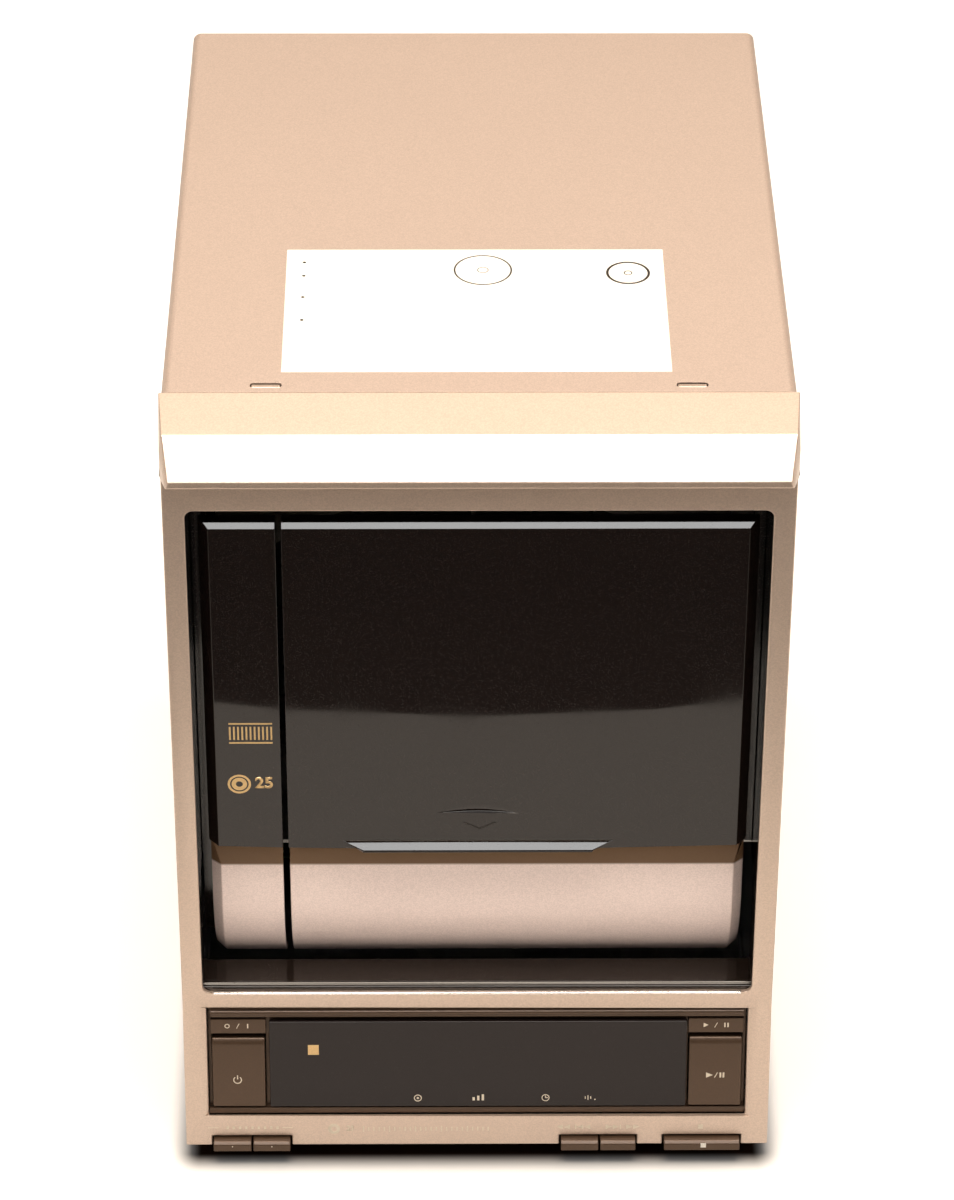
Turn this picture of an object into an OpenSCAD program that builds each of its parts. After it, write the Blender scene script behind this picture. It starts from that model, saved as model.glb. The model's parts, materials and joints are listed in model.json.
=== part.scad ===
// Disc changer for standard 120 mm discs: an upright cabinet with a tilting front door,
// a rotary disc rack behind it and an upright player unit in the upper rear.
// Millimetres, +Z up, the front faces -Y, the floor is z = 0.

/* [Cabinet] */
// Room between the rack and the cover's outer face on each side
side_room = 9; // [8:0.5:14]
// Room behind the player's bridge
rear_room = 48; // [44:1:70]
// Height of the cover above the disc spindle
head_room = 68.5; // [66:0.5:90]
// Height of the feet
foot_h = 8; // [6:1:14]
// Diameter of a foot
foot_d = 38; // [24:1:44]
// Thickness of the steel sheet
sheet_t = 1; // [0.8:0.1:1.4]
// Radius of the cover's folded edges
cover_r = 4; // [2.5:0.5:6]
// Width of a hook slot in the cover's top
hook_w = 14; // [8:1:20]
// Distance of a hook slot from the cover's side
hook_inset = 46; // [36:1:60]

/* [Front bezel] */
// How far the bezel stands out at the sides where it meets the cover
bezel_lip = 1; // [0.5:0.25:2]
// Reach of the frame's face in front of the cover
face_reach = 24; // [22:1:30]
// Reach of the visor's chin in front of the cover
chin_reach = 40; // [34:1:44]
// Drop of the chin below the top
chin_drop = 22; // [18:1:28]
// Reach of the visor's first slope in front of the cover
visor_break = 27; // [25:0.5:32]
// Drop of the visor's first slope
visor_fall = 5.3; // [3:0.1:8]
// How far the foot of the control section stands ahead of the face
lean_reach = 13.7; // [10:0.1:18]
// Height of the control section
control_h = 83; // [82:1:92]
// Wall of the moulding
bezel_wall = 2.5; // [2:0.25:3]

/* [Door] */
// Width of the bezel's frame beside the door opening
frame_side = 9.8; // [9.4:0.2:12]
// Height of the band above the door opening
band_h = 47; // [45:1:52]
// Corner radius of the opening
opening_r = 4; // [2:0.5:8]
// Gap between the front and the opening on each side
front_gap = 4.8; // [4:0.1:7]
// How far the window lies behind the face
set_back = 10; // [9:0.5:12]
// Gap between the window and the top of the opening
window_gap = 13.5; // [12:0.5:16]
// Height of the door's pivot above the sill
pivot_rise = 47; // [46:0.5:52]
// Height of the window's lower edge above the pivot
window_rise = 33.5; // [31:0.5:36]
// Thickness of the window
window_t = 3.5; // [3:0.25:4]
// Depth of the window's edge
window_edge = 8; // [6:0.5:9]
// How far the window stands ahead of the lower panel
overhang = 4.5; // [4:0.25:6]
// Sag of the window's curved lower edge
sag = 2.4; // [0.5:0.1:4]
// Width of the bevel down each side of the door and the strip
side_bevel = 4.6; // [3:0.2:6]
// Depth of the window's side bevel
side_bevel_deep = 5.2; // [3:0.2:6]
// Width of the fixed strip on the left
strip_w = 34.6; // [28:0.2:38]
// Gap between the fixed strip and the door
slit = 2.6; // [1.6:0.2:4]
// Radius of the drum that the lower panel follows
drum_r = 66; // [62:1:68]
// Angle of drum below the flat front
drum_sweep = 62; // [54:1:72]
// Thickness of the lower panel
panel_t = 2.5; // [2:0.25:3]
// Width of the pull ledge
ledge_w = 131; // [80:1:150]
// How far the pull ledge stands out
ledge_out = 4; // [2:0.5:5]
// Width of the fingertip hollow above the ledge
scoop_w = 44; // [30:1:52]
// Height of the fingertip hollow
scoop_h = 7.5; // [5:0.5:10]
// Depth of the fingertip hollow
scoop_deep = 2; // [1:0.25:2.5]
// Radius of a door hinge pin
hinge_pin_r = 3; // [2.5:0.25:4]

/* [Controls] */
// Width of the bezel beside the control recess
recess_side = 11.2; // [9:0.2:13]
// Width of the bevelled rim beside the recess
recess_rim = 2.4; // [1:0.2:4]
// Height of the control recess along the slope
recess_h = 60.2; // [57:0.2:61]
// Gap between the left button and the display window
display_gap_left = 2.2; // [1.4:0.2:6]
// Gap between the display window and the right button
display_gap_right = 1.3; // [1:0.1:5]
// Height of the display window
display_h = 47; // [43:0.5:48]
// Width of a large button
button_w = 25.2; // [22:0.2:26]
// Height of a large button
button_h = 37.2; // [34:0.1:38]
// Travel of a button or key
press = 1.6; // [0.8:0.1:2]
// Height of a small key
key_h = 5.1; // [4.5:0.1:6]
// How far a small key stands out
key_out = 5; // [3:0.5:6]

/* [Rotary rack] */
// Number of disc places
disc_places = 25; // [20:1:25]
// Diameter of a disc
disc_d = 120; // [120:1:120]
// Width of a disc groove
groove_w = 2.6; // [2:0.2:3.2]
// Room between the rack and the cover's front edge
rack_room = 10; // [9:0.5:16]
// Radius from the rack's axis to a disc's centre
disc_orbit = 74; // [72:0.5:75]
// Radius of the rack's post
post_r = 6; // [4:0.5:8]
// Teeth of the ring gear under the rack
ring_teeth = 120; // [120:1:120]
// Module of the ring gear
ring_module = 2; // [2:0.1:2]
// Teeth of the pinion that turns the ring
pinion_teeth = 18; // [16:1:20]
// Teeth of the reduction wheel
wheel_teeth = 48; // [40:1:50]
// Teeth of the motor pinion
motor_teeth = 12; // [10:1:14]
// Module of the reduction wheel
fine_module = 1; // [1:0.1:1]

/* [Player] */
// Radius of the turntable
table_r = 15; // [12:0.5:16]
// Travel of the pickup
pickup_travel = 34; // [28:1:35]
// Radius of a pickup guide rod
rod_r = 1.5; // [1:0.25:2]
// Teeth of the feed gear
feed_teeth = 30; // [24:1:32]
// Module of the feed gear
feed_module = 0.8; // [0.7:0.1:0.8]

/* [Hidden] */
$fn = 64;

// Clearances
fit_gap = 0.3;
run_gap = 0.05;
mesh_gap = 0.12;
// The rack's size and place, which set the cabinet's
disc_r = disc_d / 2;
rack_r = disc_orbit + disc_r - 3;
rack_back = rack_r + rack_room;
cabinet_w = 2 * (rack_r + side_room);
spindle_y = rack_back + disc_orbit - 1;
bridge_y = spindle_y + disc_r + 16;
cabinet_d = bridge_y + rear_room;
// Planes along Y, measured from the cover's front edge
face_y = -face_reach;
window_y = face_y + set_back;
panel_y = window_y + overhang;
// Lean of the control section
lean = atan(lean_reach / control_h);
slope = control_h / cos(lean);
// The stretch across Y that centres the whole object over its origin
jack_out = 8;
key_drop = 0.6;
key_low = slope + key_drop;
front_reach = face_reach + key_out * cos(lean) + key_low * sin(lean);
origin_y = (front_reach - cabinet_d - jack_out) / 2;
// Heights above the floor
crease_z = foot_h + control_h;
opening_z = crease_z;
pivot_y = panel_y + drum_r;
pivot_z = opening_z + pivot_rise;
window_low = pivot_z + window_rise;
deck_t = 2;
deck_z = pivot_z + 10;
deck_top = deck_z + deck_t;
gear_z = deck_top + 2;
gear_h = 5;
rack_z = gear_z + gear_h;
disc_z = rack_z + 6.5 + disc_r;
spindle_z = disc_z + disc_d;
top_z = spindle_z + head_room;
opening_top = top_z - band_h;
opening_h = opening_top - opening_z;
opening_w = cabinet_w - 2 * frame_side;
window_top = opening_top - window_gap;
window_h = window_top - window_low;
// The door
front_half = opening_w / 2 - front_gap;
recess_w = cabinet_w - 2 * recess_side;
strip_right = -front_half + strip_w;
door_left = strip_right + slit;
arm_t = 2.5;
arm_inset = 3;
groove_h = 14;
panel_bevel_deep = side_bevel_deep - 1;
end_x = front_half - 0.6;
groove_in = window_edge - overhang + 0.1;
// The rack's drive
deck_half = cabinet_w / 2 - 4.8;
ring_pitch_r = ring_teeth * ring_module / 2;
pinion_pitch_r = pinion_teeth * ring_module / 2;
drive_angle = 55;
drive_dist = ring_pitch_r + pinion_pitch_r + mesh_gap;
drive_x = drive_dist * cos(drive_angle);
drive_y = rack_back + drive_dist * sin(drive_angle);
wheel_h = 5;
wheel_z = deck_z - 2 - 0.5 - wheel_h;
motor_dist = (wheel_teeth + motor_teeth) * fine_module / 2 + mesh_gap;
motor_x = drive_x - motor_dist;
shaft_r = 4;
// The player
bridge_t = 1.5;
bridge_low = disc_z + 2;
frame_top = top_z - sheet_t - 6;
plate_x = 20;
plate_t = 2.5;
rod_x = 11.5;
rod_gap = 40;
sled_h = rod_gap + 8;
sled_back = spindle_y - table_r - 1;
sled_len = 30;
feed_pitch_r = feed_teeth * feed_module / 2;
feed_pitch_z = spindle_z + sled_h / 2 + 3.8;
feed_y = sled_back - 26;
feed_z = feed_pitch_z + feed_pitch_r + mesh_gap;
lift_y = bridge_y - 7;
lift_z = disc_z + 12;
clamp_x = -16;
clamp_y = bridge_y - 8;
// Colours
steel_c = [0.78, 0.78, 0.77];
cover_c = [0.90, 0.80, 0.69];
bezel_c = [0.82, 0.74, 0.69];
dark_c = [0.07, 0.06, 0.06];
brown_c = [0.37, 0.29, 0.23];
board_c = [0.16, 0.36, 0.20];
black_c = [0.12, 0.12, 0.12];
white_c = [0.92, 0.92, 0.90];
brass_c = [0.80, 0.64, 0.32];

// Moves a piece from the cover's front edge to the part's own origin
module place() translate([0, origin_y, 0]) children();

// Extrudes a profile given in (y, z) from x0 to x1
module along_x(x0, x1) translate([x0, 0, 0]) rotate([90, 0, 90]) linear_extrude(x1 - x0) children();

// Extrudes a profile given in (x, z) from y0 to y1
module along_y(y0, y1) translate([0, y1, 0]) rotate([90, 0, 0]) linear_extrude(y1 - y0) children();

// Puts pieces on the leaning control section: x, depth behind its face, height below the crease
module leaned() translate([0, face_y, crease_z]) rotate([-lean, 0, 0]) children();

// A block between two corners
module block(a, b) translate(a) cube(b - a);

// A flat rectangle with round corners, centred
module round_rect(w, h, r) {
  square([w - 2 * r, h], center = true);
  square([w, h - 2 * r], center = true);
  for (sx = [-1, 1], sz = [-1, 1]) translate([sx * (w / 2 - r), sz * (h / 2 - r)]) circle(r);
}

// A pin along X
module pin_x(r, x0, x1, y, z) translate([x0, y, z]) rotate([0, 90, 0]) cylinder(r = r, h = x1 - x0);

// A pin along Y
module pin_y(r, y0, y1, x, z) translate([x, y1, z]) rotate([90, 0, 0]) cylinder(r = r, h = y1 - y0);

// Outline of a spur gear whose first tooth lies at the given angle
function gear_points(n, m, angle) = [
  for (i = [0 : n - 1], c = [[-0.30, -1.15], [-0.15, 0.85], [0.15, 0.85], [0.30, -1.15]])
    let (r = n * m / 2 + c[1] * m, a = angle + (i + c[0]) * 360 / n) [r * cos(a), r * sin(a)]
];
module gear(n, m, h, angle = 0) linear_extrude(h) polygon(gear_points(n, m, angle));

// Cover and chassis

module cover_outline(inset) {
  half = cabinet_w / 2 - inset;
  r = cover_r - inset;
  low = foot_h + 2;
  union() {
    translate([-half, low]) square([2 * half, top_z - inset - r - low]);
    translate([-half + r, low]) square([2 * (half - r), top_z - inset - low]);
    for (s = [-1, 1]) translate([s * (half - r), top_z - inset - r]) circle(r);
  }
}

module cabinet_cover() color(cover_c) place() difference() {
  along_y(0, cabinet_d) difference() {
    cover_outline(0);
    cover_outline(sheet_t);
    translate([-cabinet_w / 2 + sheet_t, 0]) square([cabinet_w - 2 * sheet_t, top_z / 2]);
  }
  for (s = [-1, 1]) translate([s * (cabinet_w / 2 - hook_inset), 6, top_z - 3]) {
    linear_extrude(6) round_rect(hook_w, 4, 1.8);
  }
}

module base_pan() color(steel_c) place() difference() {
  half = cabinet_w / 2 - 4.6;
  union() {
    block([-half, 2, foot_h + 1], [half, cabinet_d - 3, foot_h + 1 + sheet_t]);
    for (s = [-1, 1]) {
      x = s > 0 ? half - sheet_t : -half;
      block([x, 2, foot_h + 1], [x + sheet_t, cabinet_d - 3, foot_h + 14]);
    }
  }
  for (i = [0 : 7], s = [-1, 1]) translate([s * 60 - 20, rack_back + 20 + i * 7, foot_h - 1]) cube([40, 3, 6]);
}

module foot_places() for (sx = [-1, 1], y = [34, cabinet_d - 34]) {
  translate([sx * (cabinet_w / 2 - 34), y, 0]) children();
}

module feet() color(black_c) place() foot_places() {
  difference() {
    translate([0, 0, 2]) cylinder(r1 = foot_d / 2 - 2, r2 = foot_d / 2, h = foot_h - 1);
    translate([0, 0, 1]) cylinder(r = foot_d / 2 - 6, h = 3);
  }
}

module foot_pads() color(dark_c) place() foot_places() cylinder(r = foot_d / 2 - 6, h = 4);

jack_x = [-cabinet_w / 2 + 40, -cabinet_w / 2 + 62];
jack_z = foot_h + 32;
gland_x = cabinet_w / 2 - 44;
gland_z = foot_h + 26;

module rear_panel() color(steel_c) place() difference() {
  along_y(cabinet_d - sheet_t, cabinet_d) cover_outline(sheet_t + fit_gap);
  for (x = jack_x) pin_y(5.2, cabinet_d - 3, cabinet_d + 2, x, jack_z);
  pin_y(6.1, cabinet_d - 3, cabinet_d + 2, gland_x, gland_z);
  for (i = [0 : 13], s = [-1, 1]) {
    translate([s * 62 - 22, cabinet_d - 4, disc_z + 26.5 + i * 7]) cube([44, 8, 3]);
  }
}

module screw_y(x, z) {
  pin_y(3, cabinet_d, cabinet_d + 1.6, x, z);
}

module case_screws() color(black_c) place() {
  for (sx = [-1, 1], i = [0 : 4]) {
    screw_y(sx * (cabinet_w / 2 - 8), foot_h + 22 + i * (top_z - foot_h - 44) / 4);
  }
  for (x = [-60, 0, 60]) screw_y(x, foot_h + 10);
}

// Bezel

visor_z = top_z - chin_drop - 6;
bezel_half = cabinet_w / 2;

module section(y, pts) translate([0, y, 0]) rotate([90, 0, 0]) linear_extrude(0.01) polygon(pts);

function mirrored(pts) = concat(pts, [for (i = [len(pts) - 1 : -1 : 0]) [-pts[i][0], pts[i][1]]]);

// The visor between its rear edge and its chin, made smaller by an inset for its inside
module visor(inset) {
  rear = bezel_half + bezel_lip - inset;
  mid = bezel_half - inset;
  chin_z = top_z - chin_drop;
  hull() {
    section(inset > 0 ? 0.1 : 0, mirrored([[rear, visor_z], [rear, top_z - inset]]));
    section(-visor_break + inset / 2, mirrored([
      [mid, visor_z], [mid, top_z - visor_fall - 8 - inset], [mid - 1.2, top_z - visor_fall - inset]
    ]));
    section(-chin_reach + 1.6 + inset * 1.4, mirrored([[mid - 2.6, visor_z + 2.4], [mid - 2.8, chin_z - 2]]));
    section(-chin_reach + 0.4 + inset * 1.4, mirrored([[mid - 3.4, chin_z - 3], [mid - 4, chin_z - 0.4]]));
    section(-chin_reach + 0.9 + inset * 1.4, mirrored([[mid - 4, chin_z - 1.5], [mid - 4.2, chin_z + 0.4]]));
  }
}

// Side profile of the frame and control section
module frame_profile(inset) {
  foot_y = face_y - lean_reach;
  polygon([
    [inset > 0 ? 1 : 0, foot_h + inset], [foot_y + 1.1 * inset, foot_h + inset],
    [face_y + inset, crease_z], [face_y + inset, visor_z + (inset > 0 ? 8 : 0.5)],
    [inset > 0 ? 1 : 0, visor_z + (inset > 0 ? 8 : 0.5)]
  ]);
}

module plan(inset) {
  rear = bezel_half + bezel_lip - inset;
  mid = bezel_half - inset;
  linear_extrude(top_z) polygon([
    [-rear, 2], [-rear, 0], [-mid, face_y], [-mid, -60], [mid, -60], [mid, face_y], [rear, 0], [rear, 2]
  ]);
}

// Left and right edge of each small key, worked out from the recess's ends
key_end = recess_w / 2;
key_edges = [
  [-key_end + 2.1, -key_end + 20.3], [-key_end + 21.2, -key_end + 39],
  [key_end - 88.4, key_end - 70.4], [key_end - 69.5, key_end - 52.5], [key_end - 38.8, key_end - 2.4]
];
key_gap = 0.7;
// First and last key of each cut-out
key_sets = [[0, 1], [2, 3], [4, 4]];

module front_bezel() color(bezel_c) place() difference() {
  union() {
    intersection() {
      along_x(-160, 160) frame_profile(0);
      plan(0);
    }
    visor(0);
  }
  intersection() {
    along_x(-160, 160) frame_profile(bezel_wall);
    plan(bezel_wall);
  }
  intersection() {
    visor(bezel_wall);
    block([-160, -60, visor_z + 1], [160, 1, top_z]);
  }
  along_y(face_y - 20, face_y + 10) translate([0, opening_z + opening_h / 2]) {
    round_rect(opening_w, opening_h, opening_r);
  }
  leaned() translate([0, 0, recess_low]) linear_extrude(recess_h) polygon([
    [-recess_w / 2 - recess_rim, -5], [-recess_w / 2 - recess_rim, 0], [-recess_w / 2, rim_deep],
    [-recess_w / 2, panel_depth + 2], [recess_w / 2, panel_depth + 2], [recess_w / 2, rim_deep],
    [recess_w / 2 + recess_rim, 0], [recess_w / 2 + recess_rim, -5]
  ]);
  leaned() for (k = key_sets) {
    block([key_edges[k[0]][0] - key_gap, -5, -slope - 5],
          [key_edges[k[1]][1] + key_gap, rail_depth + 3, -key_low + key_h + key_gap]);
  }
}

// The liner behind the door opening, with the sill under the door
liner_back = 42;
sill_back = 23;
module bay_surround() color(dark_c) place() {
  half = opening_w / 2 + fit_gap;
  y0 = face_y + bezel_wall + 0.1;
  y1 = face_y + liner_back;
  flange = 6;
  difference() {
    along_y(y0, y1) translate([0, opening_z + opening_h / 2]) difference() {
      round_rect(opening_w + 2 * fit_gap + 4, opening_h + 2 * fit_gap + 4, opening_r + 2);
      round_rect(opening_w + 2 * fit_gap, opening_h + 2 * fit_gap, opening_r);
    }
    block([-half - 5, face_y + sill_back + 2, opening_z - 10], [half + 5, y1 + 1, deck_z - 3]);
  }
  along_x(-half, half) sill_profile();
  block([half - flange, y1 - 2, deck_z + 3], [half, y1, opening_top]);
  block([-half, y1 - 2, opening_z + 8], [-half + 2 * flange, y1, opening_top]);
  block([-half, y1 - 2, opening_top - 8], [half, y1, opening_top + fit_gap]);
}

module sill_profile() {
  y0 = face_y + bezel_wall + 0.1;
  r = 4;
  translate([y0, opening_z - 2]) square([sill_back - bezel_wall, 4]);
  translate([y0 + r, opening_z - 2]) square([sill_back - bezel_wall - r - 1, 5.2]);
  intersection() {
    translate([y0 + r, opening_z - 0.8]) circle(r);
    translate([y0, opening_z - 2]) square([2 * r, 2 * r]);
  }
}

// Fixed strip and door: one section, cut by the slit

// The whole dark front before it is cut: chamfered at the top and at both outer edges
module window_front(x0, x1) {
  chamfer_z = 2.8;
  y1 = window_y + window_edge;
  arc_r = (front_half * front_half + sag * sag) / (2 * sag);
  intersection() {
    along_x(x0, x1) polygon([
      [y1, window_low - 5], [window_y, window_low - 5], [window_y, window_top - chamfer_z],
      [window_y + chamfer_z, window_top], [y1, window_top]
    ]);
    linear_extrude(top_z) polygon([
      [-front_half, y1 + 1], [-front_half, window_y + side_bevel_deep],
      [-front_half + side_bevel, window_y], [front_half - side_bevel, window_y],
      [front_half, window_y + side_bevel_deep], [front_half, y1 + 1]
    ]);
    along_y(window_y - 1, y1 + 1) translate([0, window_low - sag + arc_r]) difference() {
      circle(arc_r, $fn = 360);
      translate([-arc_r, window_h]) square([2 * arc_r, arc_r]);
    }
  }
}

module window_shell(x0, x1) difference() {
  window_front(x0, x1);
  block([x0 + 3, window_y + window_t, window_low + 5], [x1 - 3, window_y + 30, window_top - window_t]);
}

// Outer form of the lower panel about the door's pivot: a flat front above a drum, bevelled at both sides
module panel_form(inset) {
  r = drum_r - inset;
  edge_r = r - panel_bevel_deep;
  rise = window_low - pivot_z;
  rotate([0, 90, 0]) rotate_extrude($fn = 180) polygon([
    [0, -end_x], [edge_r, -end_x], [r, -end_x + side_bevel], [r, end_x - side_bevel], [edge_r, end_x], [0, end_x]
  ]);
  intersection() {
    linear_extrude(rise + 5) polygon([
      [-end_x, 0], [-end_x, -edge_r], [-end_x + side_bevel, -r],
      [end_x - side_bevel, -r], [end_x, -edge_r], [end_x, 0]
    ]);
    along_x(-end_x, end_x) polygon([
      [0, -1], [-r, -1], [-r, rise - groove_h], [-r + groove_in, rise - sag - fit_gap],
      [-r + groove_in, rise + 5], [0, rise + 5]
    ]);
  }
}

// Where the fixed strip's webs meet the liner's flange
web_back = face_y + liner_back - 2;

// The lower panel's shell between two places along X
module lower_panel(x0, x1) translate([0, pivot_y, pivot_z]) intersection() {
  difference() {
    panel_form(0);
    panel_form(panel_t);
  }
  along_x(x0, x1) polygon([
    [0, 0], [0, window_low - pivot_z + 4], [-2 * drum_r, window_low - pivot_z + 4],
    [-2 * drum_r, -2 * drum_r * tan(drum_sweep)]
  ]);
}

module strip_window() color(dark_c) place() {
  window_shell(-front_half, strip_right);
  block([-front_half + 0.6, window_y + window_edge - 1, window_low + 10],
        [-front_half + 3, web_back, window_top - 8]);
}

module strip_panel() color(bezel_c) place() {
  lower_panel(-end_x, strip_right - 0.3);
  block([-end_x, panel_y + panel_bevel_deep + 0.4, pivot_z - 2],
        [-front_half + 3, web_back, window_low - groove_h - 2]);
}

module door_window() color(dark_c) place() difference() {
  union() {
    window_shell(door_left, front_half);
    block([-28, window_y + window_t - 0.5, window_low + 10], [28, window_y + window_t + 2, window_low + 32]);
  }
  finger_scoop();
}

// A hollow for a fingertip, deepest at its straight lower edge
module finger_scoop() {
  scoop_z = window_low + 17;
  scoop_r = (scoop_w * scoop_w / 4 + scoop_deep * scoop_deep) / (2 * scoop_deep);
  tilt = atan(scoop_deep / scoop_h);
  intersection() {
    translate([0, window_y + scoop_deep - scoop_r / cos(tilt), scoop_z]) rotate([tilt, 0, 0]) {
      cylinder(r = scoop_r, h = 60, center = true, $fn = 240);
    }
    block([-scoop_w, window_y - 5, scoop_z], [scoop_w, window_y + 10, scoop_z + 2 * scoop_h]);
  }
}

module door_lower_panel() color(bezel_c) place() lower_panel(door_left + 0.3, end_x);

module door_ledge() color(dark_c) place() {
  z1 = window_low + 3.4;
  intersection() {
    along_x(-ledge_w / 2, ledge_w / 2) polygon([
      [window_y, z1], [window_y - ledge_out, z1 - 1], [window_y - ledge_out, z1 - 4], [window_y, z1 - 4.6]
    ]);
    along_y(window_y - 10, window_y + 1) polygon([
      [-ledge_w / 2, z1 + 1], [ledge_w / 2, z1 + 1], [ledge_w / 2 - 11, z1 - 6], [-ledge_w / 2 + 11, z1 - 6]
    ]);
  }
}

arm_left = door_left + arm_inset;
arm_right = front_half - side_bevel - 1 - arm_t;

// One door arm in (y, z) from the pivot
module arm_profile() {
  inner = drum_r - panel_t - 0.2;
  difference() {
    union() {
      circle(8);
      polygon([
        [-inner, 7], [0, 8], [0, -8], [-30, -26], [-inner + 8, -34], [-inner, -20]
      ]);
    }
    difference() {
      circle(2 * drum_r, $fn = 90);
      circle(inner, $fn = 180);
    }
    circle(hinge_pin_r + run_gap);
  }
}

module door_frame() color(dark_c) place() {
  rib_y = window_y + window_t + 0.1;
  rib_back = window_y + window_edge + 6;
  for (x = [arm_left, arm_right]) {
    translate([0, pivot_y, pivot_z]) along_x(x, x + arm_t) arm_profile();
    block([x, panel_y + groove_in + panel_t + 0.1, pivot_z + 4], [x + arm_t, rib_back, window_low + 12]);
    block([x, rib_y, window_low + 10], [x + arm_t, rib_back, window_top - window_t - 1]);
  }
  block([arm_left, rib_y + 3, window_low + 36], [arm_right + arm_t, rib_y + 5, window_low + 46]);
  block([arm_left, rib_y, window_top - window_t - 12], [arm_right + arm_t, rib_y + 2, window_top - window_t - 1]);
}

module door_hinge_pins() color(steel_c) place() {
  pin_x(hinge_pin_r, arm_left - 4.5, arm_left + arm_t + 1.5, pivot_y, pivot_z);
  pin_x(hinge_pin_r, arm_right - 1.5, arm_right + arm_t + 4.5, pivot_y, pivot_z);
}

// Controls, in the leaned frame: depth grows backwards, heights are below the crease

panel_depth = 6;
recess_top = -8;
rim_deep = 1.4;
recess_low = recess_top - recess_h;
button_low = recess_low + 5;
button_x = recess_w / 2 - 2.2 - button_w;
display_low = recess_low + 5;
display_left = -button_x + display_gap_left;
display_right = button_x - display_gap_right;
board_depth = 17;
switch_h = 4;

module control_panel() color(brown_c) place() leaned() difference() {
  union() {
    block([-recess_w / 2 + 0.2, panel_depth, recess_low + 0.2], [recess_w / 2 - 0.2, panel_depth + 2, recess_top - 0.2]);
    block([-recess_w / 2 + 1.6, 2.2, recess_top - 6.4], [recess_w / 2 - 1.6, panel_depth + 1, recess_top - 1.2]);
    pin_x(1.6, -recess_w / 2 + 1.6, recess_w / 2 - 1.6, 2.4, recess_top - 3.6);
    block([-recess_w / 2 + 0.2, 2.8, recess_low + 0.2], [recess_w / 2 - 0.2, panel_depth + 1, recess_low + 3.4]);
    for (x = [-88, 88], z = [recess_top - 5, recess_low + 4]) pin_y(2.5, panel_depth + 1, board_depth, x, z);
  }
  for (s = [-1, 1]) {
    x = s > 0 ? button_x : -button_x - button_w;
    block([x - fit_gap, panel_depth - 1, button_low - fit_gap],
          [x + button_w + fit_gap, 12, button_low + button_h + fit_gap]);
  }
  block([display_left + 6, panel_depth - 1, display_low + 5],
        [display_right - 6, 12, display_low + display_h - 5]);
}

module legend_plates() color(brown_c) place() leaned() for (s = [-1, 1]) {
  x = s > 0 ? button_x - 0.6 : -button_x - button_w - 0.6;
  block([x, 2.4, recess_top - 15.4], [x + button_w + 1.2, panel_depth, recess_top - 7.6]);
}

module display_window() color(dark_c) place() leaned() difference() {
  union() {
    block([display_left, 0.8, display_low], [display_right, 3.8, display_low + display_h]);
    block([display_left + 3, 3.7, display_low + 2],
          [display_right - 3, panel_depth, display_low + display_h - 2]);
  }
  block([display_left + 6, 3.8, display_low + 5],
        [display_right - 6, 12, display_low + display_h - 5]);
}

module display_tube() color([0.10, 0.16, 0.15]) place() leaned() {
  block([-72, 9, display_low + 8], [72, 15, display_low + display_h - 8]);
  for (x = [-66 : 12 : 66]) block([x - 1, 15, display_low + 20], [x + 1, board_depth, display_low + 22]);
}

key_low_z = -key_low;
stem_z = recess_low - 5.4;

function key_mid_x(i) = (key_edges[i][0] + key_edges[i][1]) / 2;

module control_board() color(board_c) place() leaned() {
  block([-recess_w / 2 + 1, board_depth, stem_z - 4], [recess_w / 2 - 1, board_depth + 1.6, recess_top - 2]);
}

switch_places = concat(
  [for (s = [-1, 1]) [s * (button_x + button_w / 2), button_low + button_h / 2]],
  [for (i = [0 : 4]) [key_mid_x(i), stem_z]]
);

module tact_switches() color(black_c) place() leaned() for (p = switch_places) {
  block([p[0] - 3, board_depth - switch_h + 0.6, p[1] - 3], [p[0] + 3, board_depth, p[1] + 3]);
  pin_y(1.6, board_depth - switch_h, board_depth - switch_h + 0.7, p[0], p[1]);
}

stem_tip = board_depth - switch_h - press - 0.15;
rail_depth = 9;

// A large button: bevelled cap, skirt and stem
module large_button(s) {
  x = s > 0 ? button_x : -button_x - button_w;
  mid = x + button_w / 2;
  along_x(x, x + button_w) polygon([
    [panel_depth + 3, button_low], [1.4, button_low], [1, button_low + 0.4],
    [1, button_low + button_h - 3.2], [2.8, button_low + button_h], [panel_depth + 3, button_low + button_h]
  ]);
  pin_y(2.5, panel_depth + 2, stem_tip, mid, button_low + button_h / 2);
}

module power_button() color(brown_c) place() leaned() large_button(-1);

module play_button() color(brown_c) place() leaned() large_button(1);

module key_rail() color(black_c) place() leaned() difference() {
  rail_half = bezel_half - bezel_wall - run_gap;
  block([-rail_half, rail_depth, stem_z - 5], [rail_half, rail_depth + 2, stem_z + 4]);
  for (i = [0 : 4]) pin_y(1.8 + fit_gap / 2, rail_depth - 1, rail_depth + 4, key_mid_x(i), stem_z);
}

// A small key: bevelled cap, a tail that rises behind the bezel, and a round stem
module small_key(i) {
  x0 = key_edges[i][0];
  x1 = key_edges[i][1];
  top = key_low_z + key_h;
  along_x(x0, x1) polygon([
    [rail_depth - press - 0.4, key_low_z + 1.6], [-key_out, key_low_z], [-key_out, top - 1.6],
    [-key_out + 1.2, top], [rail_depth - press - 0.4, top]
  ]);
  block([x0 + 1, bezel_wall + 0.8, top - 1], [x1 - 1, rail_depth - press - 0.4, stem_z + 3]);
  pin_y(1.8, rail_depth - press - 1, stem_tip, (x0 + x1) / 2, stem_z);
}

module disc_back_key() color(brown_c) place() leaned() small_key(0);
module disc_next_key() color(brown_c) place() leaned() small_key(1);
module skip_back_key() color(brown_c) place() leaned() small_key(2);
module skip_next_key() color(brown_c) place() leaned() small_key(3);
module stop_key() color(brown_c) place() leaned() small_key(4);

// Inner frame and rack

frame_x = cabinet_w / 2 - 4.4;

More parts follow.
